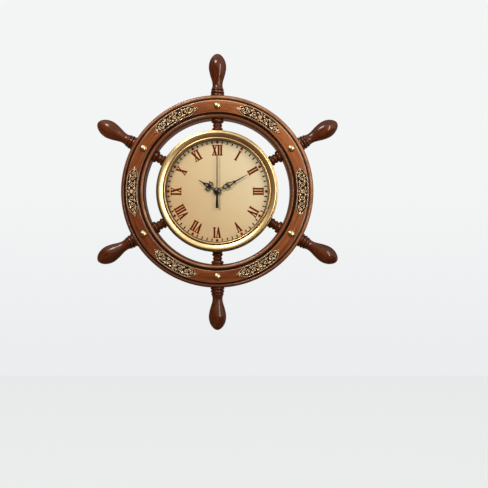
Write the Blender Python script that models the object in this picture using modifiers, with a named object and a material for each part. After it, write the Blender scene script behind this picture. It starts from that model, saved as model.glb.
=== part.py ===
# Ship wheel wall clock: a turned wooden wheel with six handles round a clock in a brass bezel.
# Units are metres. Pieces are placed in the face frame: x to the right, y up and z towards the
# viewer, from the wheel's axis on the wall. An empty stands that frame upright, so the clock
# faces -Y with +Z up and the wall is the plane y = 0. The world's origin is the wall screw.

import math

import bmesh
import bpy

# Clearances and mesh quality
fit_gap = 0.0003
running_gap = 0.0003
cut_overrun = 0.002
weld_reach = 0.000001
large_sides = 36
arm_sides = 9
stud_sides = 8
small_sides = 10
dowel_sides = 6
nut_sides = 6
hand_hole_sides = 8
bead_steps = 3
plate_edge_steps = 4
volute_steps = 5
crease_angle = math.radians(38)
quarter_turn = math.pi / 2

# The wheel, from the case outwards
arm_count = 6
arm_step = math.tau / arm_count
case_r = 0.0951
spoke_span = 0.0229
rim_width = 0.0370
rim_inner_r = case_r + spoke_span
rim_outer_r = rim_inner_r + rim_width
rim_back_chamfer = 0.0009
outer_bead_width = 0.0058
outer_groove_width = 0.0019
inner_bead_width = 0.0078
inner_groove_width = 0.0021
band_height = 0.0262
groove_depth = 0.0016
bead_rise = 0.0016
groove_height = band_height - groove_depth
bead_height = band_height + bead_rise
band_inner_r = rim_inner_r + inner_bead_width + inner_groove_width
band_outer_r = rim_outer_r - outer_bead_width - outer_groove_width
band_middle_r = (band_inner_r + band_outer_r) / 2

# Turned handles and spokes; the grips just clear the wall
handle_length = 0.0700
handle_grip_r = 0.0142
arm_axis_height = handle_grip_r + fit_gap
tenon_r = 0.0040
tenon_length = 0.0095
spoke_collar_r = 0.0100

# Studs and pierced scroll plates on the rim's band
stud_r = 0.0056
stud_height = 0.0033
stud_shank_r = 0.0015
stud_shank_length = 0.0075
plate_thickness = 0.0010
plate_margin = 0.0007
plate_half_width = (band_outer_r - band_inner_r) / 2 - plate_margin
plate_tip_angle = math.radians(17.5)

# Keyhole hanger in the rim's back
hook_inset = 0.0200
hook_rise = rim_inner_r + hook_inset
hanger_width = 0.0400
hanger_margin = 0.00265
hanger_thickness = 0.0012
slot_r = 0.0024
head_hole_r = 0.0048
head_hole_drop = 0.0085
hanger_height = slot_r + head_hole_drop + head_hole_r + 2 * hanger_margin
hanger_middle = hook_rise - (head_hole_drop + head_hole_r - slot_r) / 2
pocket_margin = 0.0012
pocket_depth = 0.0085
screw_head_r = 0.0032
screw_head_height = 0.0007
screw_head_recess = 0.0002
screw_r = 0.0015
screw_length = 0.0090
screw_margin = 0.0045
screw_spread = hanger_width / 2 - screw_margin
hanger_back = screw_head_recess + screw_head_height + fit_gap

# Gear train: teeth and arbor places
rotor_leaves = 6
fifth_teeth = 30
fifth_leaves = 6
second_teeth = 36
second_leaves = 6
third_teeth = 45
third_leaves = 6
centre_teeth = 48
cannon_leaves = 8
minute_teeth = 24
minute_leaves = 6
hour_teeth = 24
rotor_distance = 0.0080
arbor_ring_r = 0.0104
rotor_direction = math.radians(160)
fifth_direction = math.radians(166)
third_direction = math.radians(90)
minute_direction = math.radians(10)
wheel_addendum_share = 0.80
leaf_addendum_share = 0.60
dedendum_share = 1.05
wheel_tip_share = 0.08
leaf_tip_share = 0.18
leaf_root_share = 0.50

# Gear train: levels from the back cover forwards
cover_back = 0.0006
cover_thickness = 0.0011
bridge_lift = 0.0022
bridge_back = cover_back + cover_thickness + bridge_lift
bridge_thickness = 0.0010
arbor_back = bridge_back - fit_gap
gear_thickness = 0.0008
level_gap = 0.00088
level_step = gear_thickness + level_gap
pinion_thickness = level_step - fit_gap
fifth_level = bridge_back + bridge_thickness + fit_gap
second_level = fifth_level + level_step
third_level = second_level + level_step
centre_level = third_level + level_step
minute_level = centre_level + level_step
hour_level = minute_level + level_step
train_front = hour_level + gear_thickness

# The battery, its bay and the movement round them
battery_r = 0.0071
battery_length = 0.0492
battery_height = cover_back + battery_r
battery_nub_r = 0.0027
battery_nub_length = 0.0012
contact_thickness = 0.0004
contact_size = 0.0090
contact_room = 0.0012
bay_wall = 0.0010
train_room = 0.0017
second_module = 2 * arbor_ring_r / (fifth_leaves + second_teeth)
train_foot = -(second_teeth / 2 + wheel_addendum_share) * second_module - train_room
bay_top = train_foot - bay_wall
movement_wall = 0.0012
movement_front_wall = 0.0015
movement_corner = 0.0020
front_room = 0.0004
floor_height = max(train_front, battery_height + battery_r) + front_room
movement_back = cover_back + cover_thickness + fit_gap
movement_front = floor_height + movement_front_wall
half_inside = (battery_length + battery_nub_length) / 2 + contact_thickness + contact_room
movement_half_width = half_inside + movement_wall
movement_top = movement_half_width
movement_bottom = bay_top - 2 * (battery_r + fit_gap) - movement_wall
recess_gap = 0.0005

# Pipes and bush round the second arbor
arbor_r = 0.00055
minute_pipe_wall = 0.00055
minute_pipe_bore_r = arbor_r + running_gap
minute_pipe_r = minute_pipe_bore_r + minute_pipe_wall
hour_pipe_wall = 0.0010
hour_pipe_bore_r = minute_pipe_r + running_gap
hour_pipe_r = hour_pipe_bore_r + hour_pipe_wall
bush_wall = 0.0010
bush_bore_r = hour_pipe_r + running_gap
bush_r = bush_bore_r + bush_wall

# From the case's floor forwards: dial, nuts, hands and glass
case_floor = 0.0060
case_back_chamfer = 0.0008
dial_seat_height = movement_front + fit_gap + case_floor
dial_seat_depth = 0.0063
case_height = dial_seat_height + dial_seat_depth
dial_thickness = 0.0010
dial_height = dial_seat_height + fit_gap
washer_margin = 0.0028
washer_thickness = 0.0005
washer_height = dial_height + dial_thickness + fit_gap
bush_nut_wall = 0.0022
bush_nut_thickness = 0.0016
bush_nut_height = washer_height + washer_thickness + fit_gap
bush_front = bush_nut_height + bush_nut_thickness
hand_gap = 0.0006
hand_thickness = 0.0006
hub_wall = 0.0012
hour_hand_height = bush_front + hand_gap
minute_hand_height = hour_hand_height + hand_thickness + hand_gap
minute_nut_wall = 0.0012
minute_nut_thickness = 0.0007
minute_nut_height = minute_hand_height + hand_thickness + fit_gap
second_hand_height = minute_nut_height + minute_nut_thickness + hand_gap
second_hand_thickness = 0.0004
second_hub_wall = 0.0006
second_cap_r = 0.0044
second_cap_depth = 0.0011
second_cap_bore_depth = 0.0005
second_cap_height = second_hand_height + second_hand_thickness + fit_gap
hour_hand_length = 0.0348
minute_hand_length = 0.0560
second_hand_length = 0.0580
second_tail_length = 0.0267
second_tail_half_width = 0.0014
second_root_half_width = 0.00045
second_tip_half_width = 0.00028
hour_hand_angle = math.radians(301.2)
minute_hand_angle = math.radians(61.5)
second_hand_angle = 0

# Glass and bezel: heights from the glass's front, radii from the case's wall
glass_height = second_cap_height + second_cap_depth + hand_gap
glass_thickness = 0.0018
glass_front = glass_height + glass_thickness + fit_gap
case_wall = 0.0091
dial_seat_r = case_r - case_wall
glass_inset = 0.0005
glass_seat_r = dial_seat_r - glass_inset
lip_overlap = 0.0029
lip_thickness = 0.0007
lip_bead_rise = 0.0014
bezel_lip_r = glass_seat_r - lip_overlap
step_width = 0.0011
step_drop = 0.0006
slope_width = 0.0014
bezel_band_foot_drop = 0.0011
bezel_crest_rise = 0.0028
bezel_wall = 0.0022
bezel_shoulder_width = 0.0022
bezel_shoulder_drop = 0.0029
bezel_skirt_gap = 0.0014
bezel_outer_r = case_r + fit_gap + bezel_wall
bezel_step_r = glass_seat_r + step_width

# Setting knob, bridge pillars and motor
knob_r = 0.0055
knob_back = 0.0005
knob_gap = 0.0005
knob_socket_depth = 0.0012
knob_window_gap = 0.0008
pillar_r = 0.0010
magnet_r = 0.0026
magnet_length = 0.0025
magnet_lift = 0.00065
magnet_gap = 0.0007
magnet_level = fifth_level + gear_thickness + magnet_lift
stator_thickness = 0.0010
stator_arm_width = 0.0030
stator_rim = 0.0017
stator_top_gap = 0.0012
stator_level = magnet_level + (magnet_length - stator_thickness) / 2
core_width = 0.0024
coil_r = 0.0030
coil_waist_r = 0.0025
coil_bore_r = 0.0018
coil_flange = 0.0008

# Circuit
board_gap = 0.0038
board_lift = 0.0007
board_thickness = 0.0010
board_top_gap = 0.0018
crystal_r = 0.0011
crystal_length = 0.0062
crystal_drop = 0.0038

# A handle's turning, from its base to its tip: shares of its length and of its grip radius
handle_profile_shares = (
    (0.000, 0.72),
    (0.030, 0.78),
    (0.056, 0.66),
    (0.080, 0.74),
    (0.124, 0.74),
    (0.144, 0.67),
    (0.170, 0.73),
    (0.245, 0.56),
    (0.345, 0.55),
    (0.520, 0.83),
    (0.700, 1.00),
    (0.830, 0.87),
    (0.930, 0.56),
    (0.985, 0.24),
)

# A spoke's turning, from the case to the rim: shares of its length and of its collar radius
spoke_profile_shares = (
    (0.00, 0.84),
    (0.17, 0.84),
    (0.31, 0.88),
    (0.46, 0.66),
    (0.58, 0.78),
    (0.68, 0.68),
    (0.79, 0.98),
    (0.93, 1.00),
    (1.00, 0.90),
)

# A dome's two rings between its crown and its foot: shares of its radius and of its height
dome_high_share = 0.500
dome_low_share = 0.866

# Volutes on one half of a plate: place along it and size across it, as shares, then the curl
plate_volute_shares = (
    (0.190, 0.72, 1),
    (0.515, 0.64, -1),
)
volute_sweep_share = 0.74
volute_inner_shares = (0.30, 0.86)

# A pointed drop between the outer volute and the plate's tip, and where the plate starts to narrow
plate_drop_shares = ((0.69, 0), (0.77, 0.26), (0.93, 0), (0.77, -0.26))
plate_shoulder_share = 0.65

# Outlines of the hands: half widths and distances from the axis, as shares of a hand's length
hour_outline_shares = (
    (0.030, 0.150),
    (0.058, 0.235),
    (0.030, 0.315),
    (0.098, 0.322),
    (0.212, 0.362),
    (0.222, 0.450),
    (0.155, 0.508),
    (0.078, 0.492),
    (0.090, 0.560),
    (0.058, 0.632),
    (0.024, 0.680),
    (0.014, 0.760),
    (0.009, 0.970),
)
minute_outline_shares = (
    (0.014, 0.085),
    (0.030, 0.142),
    (0.014, 0.196),
    (0.052, 0.222),
    (0.072, 0.272),
    (0.046, 0.325),
    (0.066, 0.352),
    (0.022, 0.532),
    (0.030, 0.560),
    (0.010, 0.600),
    (0.005, 0.980),
)

# Openings in the hands: places as half widths and distances, and sizes, in the same shares
hour_ring_shares = ((-0.142, 0.418), (0.142, 0.418), (0, 0.560))
hour_ring_hole_share = 0.058
hour_slot_shares = ((0, 0.185), (0.026, 0.235), (0, 0.295), (-0.026, 0.235))
minute_ring_share = 0.272
minute_ring_hole_share = 0.042
minute_slot_shares = ((0, 0.108), (0.013, 0.142), (0, 0.178), (-0.013, 0.142))
minute_lattice_shares = ((0, 0.345), (0.040, 0.372), (0, 0.510), (-0.040, 0.372))

finishes = {
    "mahogany": ((0.190, 0.050, 0.018), 0.28, 0.0),
    "brass": ((0.780, 0.560, 0.250), 0.25, 1.0),
    "gilt": ((0.830, 0.690, 0.450), 0.38, 1.0),
    "dial_enamel": ((0.690, 0.515, 0.290), 0.60, 0.0),
    "black_enamel": ((0.012, 0.011, 0.012), 0.35, 0.0),
    "red_brown_enamel": ((0.150, 0.060, 0.040), 0.40, 0.0),
    "clear_glass": ((0.920, 0.950, 0.940), 0.02, 0.0),
    "black_plastic": ((0.018, 0.018, 0.020), 0.50, 0.0),
    "white_plastic": ((0.750, 0.740, 0.700), 0.45, 0.0),
    "steel": ((0.560, 0.570, 0.580), 0.30, 1.0),
    "magnet_black": ((0.060, 0.060, 0.065), 0.45, 0.6),
    "copper_wire": ((0.640, 0.240, 0.110), 0.35, 1.0),
    "board_green": ((0.030, 0.180, 0.070), 0.45, 0.0),
    "battery_jacket": ((0.050, 0.070, 0.160), 0.35, 0.0),
}


def make_materials():
    """One Principled material for each finish."""
    made = {}
    for name, (colour, roughness, metallic) in finishes.items():
        material = bpy.data.materials.new(name)
        material.use_nodes = True
        shader = material.node_tree.nodes["Principled BSDF"]
        shader.inputs["Base Color"].default_value = (*colour, 1)
        shader.inputs["Roughness"].default_value = roughness
        shader.inputs["Metallic"].default_value = metallic
        made[name] = material
    return made


for leftover in list(bpy.data.objects):
    bpy.data.objects.remove(leftover)

materials = make_materials()
pieces = bpy.data.collections.new("ship_wheel_clock")
cutters = bpy.data.collections.new("cutters")
bpy.context.scene.collection.children.link(pieces)
bpy.context.scene.collection.children.link(cutters)

face_frame = bpy.data.objects.new("face_frame", None)
face_frame.location.z = -hook_rise
face_frame.rotation_euler.x = quarter_turn
pieces.objects.link(face_frame)


# Points and outlines


def polar(radius, angle):
    return radius * math.cos(angle), radius * math.sin(angle)


def ring_points(radius, sides, centre=(0, 0)):
    """A round outline with flats that face x and y, like the turned shapes."""
    steps = [math.tau * (step + 1 / 2) / sides for step in range(sides)]
    return [(centre[0] + polar(radius, a)[0], centre[1] + polar(radius, a)[1]) for a in steps]


def box_points(left, right, bottom, top):
    return [(left, bottom), (right, bottom), (right, top), (left, top)]


def arc_profile(inner_r, outer_r, foot, crest, steps):
    """A rounded bead's section, from its inner foot over the crest to its outer foot."""
    middle = (inner_r + outer_r) / 2
    half_width = (outer_r - inner_r) / 2
    turns = [math.pi * (steps - step) / steps for step in range(steps + 1)]
    return [(middle + half_width * math.cos(t), foot + (crest - foot) * math.sin(t)) for t in turns]


def flat_of(radius):
    """How far a large ring's flats lie from the axis; the six arms all meet flats."""
    return radius * math.cos(math.pi / large_sides)


def clear_of(radius, sides):
    """A hole's corner radius that leaves the fit's gap round a pin, whichever way its sides face."""
    return (radius + fit_gap) / math.cos(math.pi / sides)


def direction(start, end):
    """The angle at which one place lies from another."""
    return math.atan2(end[1] - start[1], end[0] - start[0])


def beyond(start, distance, angle):
    step = polar(distance, angle)
    return start[0] + step[0], start[1] + step[1]


# Solids


def evaluated_mesh(drawn):
    """The object's mesh as its modifiers leave it, with loose caps welded."""
    bpy.context.view_layer.update()
    depsgraph = bpy.context.evaluated_depsgraph_get()
    mesh = bpy.data.meshes.new_from_object(drawn.evaluated_get(depsgraph))
    welded = bmesh.new()
    welded.from_mesh(mesh)
    bmesh.ops.remove_doubles(welded, verts=welded.verts, dist=weld_reach)
    welded.to_mesh(mesh)
    welded.free()
    return mesh


def sheet_mesh(name, outlines, thickness):
    """A flat shape with its piercings, given a thickness to both sides of z = 0."""
    curve = bpy.data.curves.new(name, "CURVE")
    curve.dimensions = "2D"
    curve.fill_mode = "BOTH"
    curve.extrude = thickness / 2
    for outline in outlines:
        spline = curve.splines.new("POLY")
        spline.points.add(len(outline) - 1)
        for point, (x, y) in zip(spline.points, outline):
            point.co = (x, y, 0, 1)
        spline.use_cyclic_u = True
    drawn = bpy.data.objects.new(name, curve)
    cutters.objects.link(drawn)
    mesh = evaluated_mesh(drawn)
    bpy.data.objects.remove(drawn)
    return mesh


def turned_mesh(name, profile, sides, closed=False):
    """A profile of radius and height turned round z; its outer side runs from top to bottom."""
    count = len(profile)
    start = math.pi / sides
    edges = [(i, i + 1) for i in range(count - 1)]
    if closed:
        edges.append((count - 1, 0))
    outline = bpy.data.meshes.new(name)
    outline.from_pydata([(*polar(radius, start), height) for radius, height in profile], edges, [])
    drawn = bpy.data.objects.new(name, outline)
    cutters.objects.link(drawn)
    turn = drawn.modifiers.new("Turn", "SCREW")
    turn.axis = "Z"
    turn.angle = math.tau
    turn.steps = sides
    turn.render_steps = sides
    turn.use_merge_vertices = True
    turn.merge_threshold = weld_reach
    mesh = evaluated_mesh(drawn)
    bpy.data.objects.remove(drawn)
    return mesh


def block_mesh(name, width, depth, height):
    """A box centred on its origin."""
    shape = bmesh.new()
    bmesh.ops.create_cube(shape, size=1)
    bmesh.ops.scale(shape, vec=(width, depth, height), verts=shape.verts)
    mesh = bpy.data.meshes.new(name)
    shape.to_mesh(mesh)
    shape.free()
    return mesh


def rod_mesh(name, radius, length, sides=small_sides):
    """A cylinder that stands on its origin along z."""
    return turned_mesh(name, [(0, length), (radius, length), (radius, 0), (0, 0)], sides)


def tube_mesh(name, outer_r, inner_r, length, sides=small_sides):
    section = [(outer_r, length), (outer_r, 0), (inner_r, 0), (inner_r, length)]
    return turned_mesh(name, section, sides, closed=True)


def place(name, mesh, finish, at=(0, 0, 0), turn=(0, 0, 0)):
    """Puts a piece in the face frame."""
    piece = bpy.data.objects.new(name, mesh)
    piece.location = at
    piece.rotation_euler = turn
    piece.parent = face_frame
    if not mesh.materials:
        mesh.materials.append(materials[finish])
    mesh.shade_smooth()
    mesh.set_sharp_from_angle(angle=crease_angle)
    pieces.objects.link(piece)
    return piece


def tool(name, mesh, at=(0, 0, 0), turn=(0, 0, 0)):
    """A shape in the face frame that cuts or joins others and isn't a piece itself."""
    guide = bpy.data.objects.new(name, mesh)
    guide.location = at
    guide.rotation_euler = turn
    guide.parent = face_frame
    guide.hide_render = True
    guide.display_type = "WIRE"
    cutters.objects.link(guide)
    return guide


def shape_with(piece, tools, operation):
    """Cuts the tools out of a piece, or joins them to it, and keeps the result."""
    for guide in tools:
        change = piece.modifiers.new(guide.name, "BOOLEAN")
        change.operation = operation
        change.solver = "EXACT"
        change.object = guide
    finish = piece.data.materials[0]
    mesh = evaluated_mesh(piece)
    piece.modifiers.clear()
    piece.data = mesh
    mesh.materials.clear()
    mesh.materials.append(finish)
    mesh.shade_smooth()
    mesh.set_sharp_from_angle(angle=crease_angle)
    for guide in tools:
        bpy.data.objects.remove(guide)


# The wheel


def arm_angles(offset=0):
    """The clock angles of what repeats round the wheel, clockwise from the top."""
    return [arm_step * (index + offset) for index in range(arm_count)]


def arm_turn(angle):
    """Stands a turned piece's own z along the wheel's radius at a clock angle."""
    return -quarter_turn, 0, -angle


def arm_place(radius, angle, height):
    return radius * math.sin(angle), radius * math.cos(angle), height


def socket_tools(wall_r, inward):
    """Dowel holes that start at a round wall and run along the wheel's radii."""
    socket_r = clear_of(tenon_r, dowel_sides)
    depth = tenon_length + fit_gap + cut_overrun
    start = wall_r - depth + cut_overrun if inward else wall_r - cut_overrun
    mesh = rod_mesh("socket", socket_r, depth, dowel_sides)
    return [
        tool("socket", mesh, arm_place(start, angle, arm_axis_height), arm_turn(angle))
        for angle in arm_angles()
    ]


def make_rim():
    """The moulded ring, with the handles', spokes' and studs' holes and the hanger's seat."""
    groove_in = rim_inner_r + inner_bead_width
    groove_out = rim_outer_r - outer_bead_width
    section = arc_profile(rim_inner_r, groove_in, groove_height, bead_height, bead_steps)
    section += [
        (band_inner_r, groove_height),
        (band_inner_r, band_height),
        (band_outer_r, band_height),
        (band_outer_r, groove_height),
    ]
    section += arc_profile(groove_out, rim_outer_r, groove_height, bead_height, bead_steps)
    section += [
        (rim_outer_r, rim_back_chamfer),
        (rim_outer_r - rim_back_chamfer, 0),
        (rim_inner_r + rim_back_chamfer, 0),
        (rim_inner_r, rim_back_chamfer),
    ]
    rim = place("rim", turned_mesh("rim", section, large_sides, closed=True), "mahogany")
    holes = socket_tools(flat_of(rim_outer_r), True) + socket_tools(flat_of(rim_inner_r), False)
    shank_hole = rod_mesh(
        "stud_hole",
        clear_of(stud_shank_r, dowel_sides),
        stud_shank_length + fit_gap + cut_overrun,
        dowel_sides,
    )
    bottom = band_height - stud_shank_length
    for angle in arm_angles():
        holes.append(tool("stud_hole", shank_hole, arm_place(band_middle_r, angle, bottom)))
    shape_with(rim, holes + hanger_tools(), "DIFFERENCE")


def hanger_tools():
    """The seat of the keyhole plate, the screw head's pocket and the plate's pilot holes."""
    seat_depth = hanger_back + hanger_thickness + fit_gap
    seat = block_mesh(
        "hanger_seat",
        hanger_width + 2 * fit_gap,
        hanger_height + 2 * fit_gap,
        seat_depth + cut_overrun,
    )
    pocket = block_mesh(
        "hanger_pocket",
        2 * (head_hole_r + pocket_margin),
        hanger_height - 2 * pocket_margin,
        pocket_depth,
    )
    pilot_r = clear_of(screw_r, dowel_sides)
    pilot = rod_mesh("pilot_hole", pilot_r, screw_length + cut_overrun, dowel_sides)
    tools = [
        tool("hanger_seat", seat, (0, hanger_middle, (seat_depth - cut_overrun) / 2)),
        tool("hanger_pocket", pocket, (0, hanger_middle, pocket_depth / 2 + fit_gap)),
    ]
    for side in (-1, 1):
        seat_place = (side * screw_spread, hanger_middle, hanger_back)
        tools.append(tool("pilot_hole", pilot, seat_place))
    return tools


def make_hanger():
    """A keyhole plate let into the rim's back at the top, and its two screws."""
    slot = [polar(slot_r, math.pi * step / dowel_sides) for step in range(dowel_sides + 1)]
    neck = math.asin(slot_r / head_hole_r)
    sweep = math.tau - 2 * neck
    hole = []
    for step in range(small_sides + 1):
        x, y = polar(head_hole_r, quarter_turn + neck + sweep * step / small_sides)
        hole.append((x, y - head_hole_drop))
    keyhole = [(x, y + hook_rise - hanger_middle) for x, y in slot + hole]
    screw_hole_r = clear_of(screw_r, dowel_sides)
    outlines = [
        box_points(-hanger_width / 2, hanger_width / 2, -hanger_height / 2, hanger_height / 2),
        keyhole,
        ring_points(screw_hole_r, dowel_sides, (-screw_spread, 0)),
        ring_points(screw_hole_r, dowel_sides, (screw_spread, 0)),
    ]
    plate = sheet_mesh("hanger_plate", outlines, hanger_thickness)
    place("hanger_plate", plate, "steel", (0, hanger_middle, hanger_back + hanger_thickness / 2))
    head_top = hanger_back - fit_gap
    section = [
        (0, head_top + screw_length),
        (screw_r, head_top + screw_length),
        (screw_r, head_top),
        (screw_head_r, head_top),
        (screw_head_r, head_top - screw_head_height / 2),
        (screw_head_r / 2, head_top - screw_head_height),
        (0, head_top - screw_head_height),
    ]
    screw = turned_mesh("hanger_screw", section, stud_sides)
    for number, side in enumerate((-1, 1), start=1):
        place(f"hanger_screw_{number}", screw, "steel", (side * screw_spread, hanger_middle, 0))


def tenon_profile():
    """A dowel below z = 0, as the lower end of a turned piece's profile."""
    return [(tenon_r, 0), (tenon_r, -tenon_length), (0, -tenon_length)]


def make_handles():
    section = [(0, handle_length)]
    for along, out in reversed(handle_profile_shares):
        section.append((out * handle_grip_r, along * handle_length))
    mesh = turned_mesh("handle", section + tenon_profile(), arm_sides)
    for number, angle in enumerate(arm_angles(), start=1):
        seat = arm_place(flat_of(rim_outer_r) + fit_gap, angle, arm_axis_height)
        place(f"handle_{number}", mesh, "mahogany", seat, arm_turn(angle))


def make_spokes():
    """Turned spokes between the case and the rim, with a dowel at each end."""
    outer_end = flat_of(rim_inner_r) - fit_gap
    inner_end = flat_of(case_r) + fit_gap
    length = outer_end - inner_end
    section = [(0, length + tenon_length), (tenon_r, length + tenon_length), (tenon_r, length)]
    for along, out in reversed(spoke_profile_shares):
        section.append((out * spoke_collar_r, along * length))
    mesh = turned_mesh("spoke", section + tenon_profile(), arm_sides)
    for number, angle in enumerate(arm_angles(), start=1):
        seat = arm_place(inner_end, angle, arm_axis_height)
        place(f"spoke_{number}", mesh, "mahogany", seat, arm_turn(angle))


def make_studs():
    """Brass dome-headed studs on the rim's band, one on each arm's line."""
    section = [
        (0, stud_height),
        (stud_r * dome_high_share, stud_height * dome_low_share),
        (stud_r * dome_low_share, stud_height * dome_high_share),
        (stud_r, 0),
        (stud_shank_r, 0),
        (stud_shank_r, -stud_shank_length),
        (0, -stud_shank_length),
    ]
    mesh = turned_mesh("stud", section, stud_sides)
    for number, angle in enumerate(arm_angles(), start=1):
        seat = arm_place(band_middle_r, angle, band_height + fit_gap)
        place(f"stud_{number}", mesh, "brass", seat)


# Pierced scroll plates


def on_plate(along, across):
    """A place on a plate, from shares of its half length and half width, bent to the rim."""
    radius = band_middle_r + across * plate_half_width
    angle = along * plate_tip_angle
    return radius * math.sin(angle), radius * math.cos(angle)


def volute_outline(along, size, curl, side):
    """A curling piercing that narrows as it goes round, and leaves a volute standing in it."""
    half_length = plate_tip_angle * band_middle_r
    along_scale = plate_half_width / half_length
    start = quarter_turn
    inner_start, inner_end = volute_inner_shares
    edge = []
    for step in range(volute_steps + 1):
        done = step / volute_steps
        edge.append((size, start + math.tau * volute_sweep_share * done))
    for step in reversed(range(volute_steps + 1)):
        done = step / volute_steps
        inner = size * (inner_start + (inner_end - inner_start) * done)
        edge.append((inner, start + math.tau * volute_sweep_share * done))
    points = []
    for radius, turn in edge:
        x, y = polar(radius, turn)
        points.append(on_plate(side * (along + x * along_scale), curl * y))
    return points


def plate_outlines():
    """The plate's pointed edge, the volutes along it and a drop at each tip."""
    shares = [1 - 2 * i / plate_edge_steps for i in range(plate_edge_steps + 1)]
    steps = [plate_shoulder_share * share for share in shares]
    edge = [on_plate(1, 0)] + [on_plate(u, 1) for u in steps]
    edge += [on_plate(-1, 0)] + [on_plate(-u, -1) for u in steps]
    outlines = [edge]
    for side in (-1, 1):
        for shares in plate_volute_shares:
            outlines.append(volute_outline(*shares, side))
        outlines.append([on_plate(side * along, across) for along, across in plate_drop_shares])
    return outlines


def make_scroll_plates():
    mesh = sheet_mesh("scroll_plate", plate_outlines(), plate_thickness)
    height = band_height + fit_gap + plate_thickness / 2
    for number, angle in enumerate(arm_angles(1 / 2), start=1):
        place(f"scroll_plate_{number}", mesh, "gilt", (0, 0, height), (0, 0, -angle))


# Case, bezel, glass and dial


def make_case():
    """The turned wooden drum: the dial's seat in front, the movement's recess behind."""
    section = [
        (0, dial_seat_height),
        (dial_seat_r, dial_seat_height),
        (dial_seat_r, case_height),
        (case_r, case_height),
        (case_r, case_back_chamfer),
        (case_r - case_back_chamfer, 0),
        (0, 0),
    ]
    case = place("case_body", turned_mesh("case_body", section, large_sides), "mahogany")
    width = 2 * (movement_half_width + recess_gap)
    tall = movement_top - movement_bottom + 2 * recess_gap
    depth = movement_front + fit_gap + cut_overrun
    middle = (movement_top + movement_bottom) / 2
    recess = block_mesh("movement_recess", width, tall, depth)
    bush_hole = rod_mesh("bush_hole", bush_r + fit_gap, dial_seat_height + cut_overrun)
    tools = [
        tool("movement_recess", recess, (0, middle, depth / 2 - cut_overrun)),
        tool("bush_hole", bush_hole),
    ]
    shape_with(case, tools + socket_tools(flat_of(case_r), True), "DIFFERENCE")


def make_bezel():
    """The brass bezel: a lip over the glass, a rounded band and a skirt round the case."""
    skirt_height = arm_axis_height + spoke_profile_shares[0][1] * spoke_collar_r + bezel_skirt_gap
    section = [
        (bezel_lip_r, glass_front),
        (bezel_lip_r, glass_front + lip_thickness),
        ((bezel_lip_r + bezel_step_r) / 2, glass_front + lip_bead_rise),
        (glass_seat_r, glass_front + lip_thickness),
        (bezel_step_r, glass_front - step_drop),
    ]
    section += arc_profile(
        bezel_step_r + slope_width,
        bezel_outer_r - bezel_shoulder_width,
        glass_front - bezel_band_foot_drop,
        glass_front + bezel_crest_rise,
        bead_steps,
    )
    section += [
        (bezel_outer_r, glass_front - bezel_shoulder_drop),
        (bezel_outer_r, skirt_height),
        (case_r + fit_gap, skirt_height),
        (case_r + fit_gap, case_height + fit_gap),
        (glass_seat_r, case_height + fit_gap),
        (glass_seat_r, glass_front),
    ]
    place("bezel", turned_mesh("bezel", section, large_sides, closed=True), "brass")


def make_dial_and_glass():
    """The dial plate, the spacer ring on it and the glass that the ring holds to the bezel."""
    outlines = [
        ring_points(dial_seat_r - fit_gap, large_sides),
        ring_points(bush_r + fit_gap, small_sides),
    ]
    dial = sheet_mesh("dial", outlines, dial_thickness)
    place("dial", dial, "dial_enamel", (0, 0, dial_height + dial_thickness / 2))
    spacer_height = dial_height + dial_thickness + fit_gap
    spacer = tube_mesh(
        "spacer_ring",
        glass_seat_r - fit_gap,
        bezel_lip_r,
        glass_height - fit_gap - spacer_height,
        large_sides,
    )
    place("spacer_ring", spacer, "brass", (0, 0, spacer_height))
    glass = rod_mesh("glass", glass_seat_r - fit_gap, glass_thickness, large_sides)
    place("glass", glass, "clear_glass", (0, 0, glass_height))


# Hands


def mirrored_outline(half):
    """A whole outline from its right half, given from the bottom to the tip."""
    return half + [(-x, y) for x, y in reversed(half) if x]


def hub_arc(radius, half_gap):
    """The right side of a round hub, from its bottom to where a neck leaves it."""
    reach = quarter_turn + math.acos(half_gap / radius)
    turns = [-quarter_turn + reach * step / dowel_sides for step in range(dowel_sides + 1)]
    return [polar(radius, t) if step else (0, -radius) for step, t in enumerate(turns)]


def hand_outlines(length, shares, hub_r, bore_r):
    """A hand's edge and its hub's hole; the hand points along y."""
    points = [(width * length, along * length) for width, along in shares]
    half = hub_arc(hub_r, points[0][0]) + points + [(0, length)]
    return [mirrored_outline(half), ring_points(bore_r, small_sides)]


def make_hour_hand():
    """An openwork hand: a slotted neck, two side rings and a front ring below the point."""
    length = hour_hand_length
    hub_r = hour_pipe_r + running_gap + hub_wall
    outlines = hand_outlines(length, hour_outline_shares, hub_r, hour_pipe_r + running_gap)
    for across_share, along_share in hour_ring_shares:
        centre = (across_share * length, along_share * length)
        outlines.append(ring_points(hour_ring_hole_share * length, hand_hole_sides, centre))
    outlines.append([(x * length, y * length) for x, y in hour_slot_shares])
    mesh = sheet_mesh("hour_hand", outlines, hand_thickness)
    height = hour_hand_height + hand_thickness / 2
    place("hour_hand", mesh, "black_enamel", (0, 0, height), (0, 0, -hour_hand_angle))


def make_minute_hand():
    """An openwork hand: a ring, a tapering lattice, a bead and a long point."""
    length = minute_hand_length
    hub_r = minute_pipe_r + running_gap + hub_wall
    outlines = hand_outlines(length, minute_outline_shares, hub_r, minute_pipe_r + running_gap)
    centre = (0, minute_ring_share * length)
    outlines.append(ring_points(minute_ring_hole_share * length, hand_hole_sides, centre))
    for shares in (minute_slot_shares, minute_lattice_shares):
        outlines.append([(x * length, y * length) for x, y in shares])
    mesh = sheet_mesh("minute_hand", outlines, hand_thickness)
    height = minute_hand_height + hand_thickness / 2
    place("minute_hand", mesh, "black_enamel", (0, 0, height), (0, 0, -minute_hand_angle))
    bore_r = minute_pipe_r + running_gap
    nut_r = minute_pipe_r + minute_nut_wall
    nut = tube_mesh("minute_nut", nut_r, bore_r, minute_nut_thickness, nut_sides)
    place("minute_nut", nut, "black_enamel", (0, 0, minute_nut_height))


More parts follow.
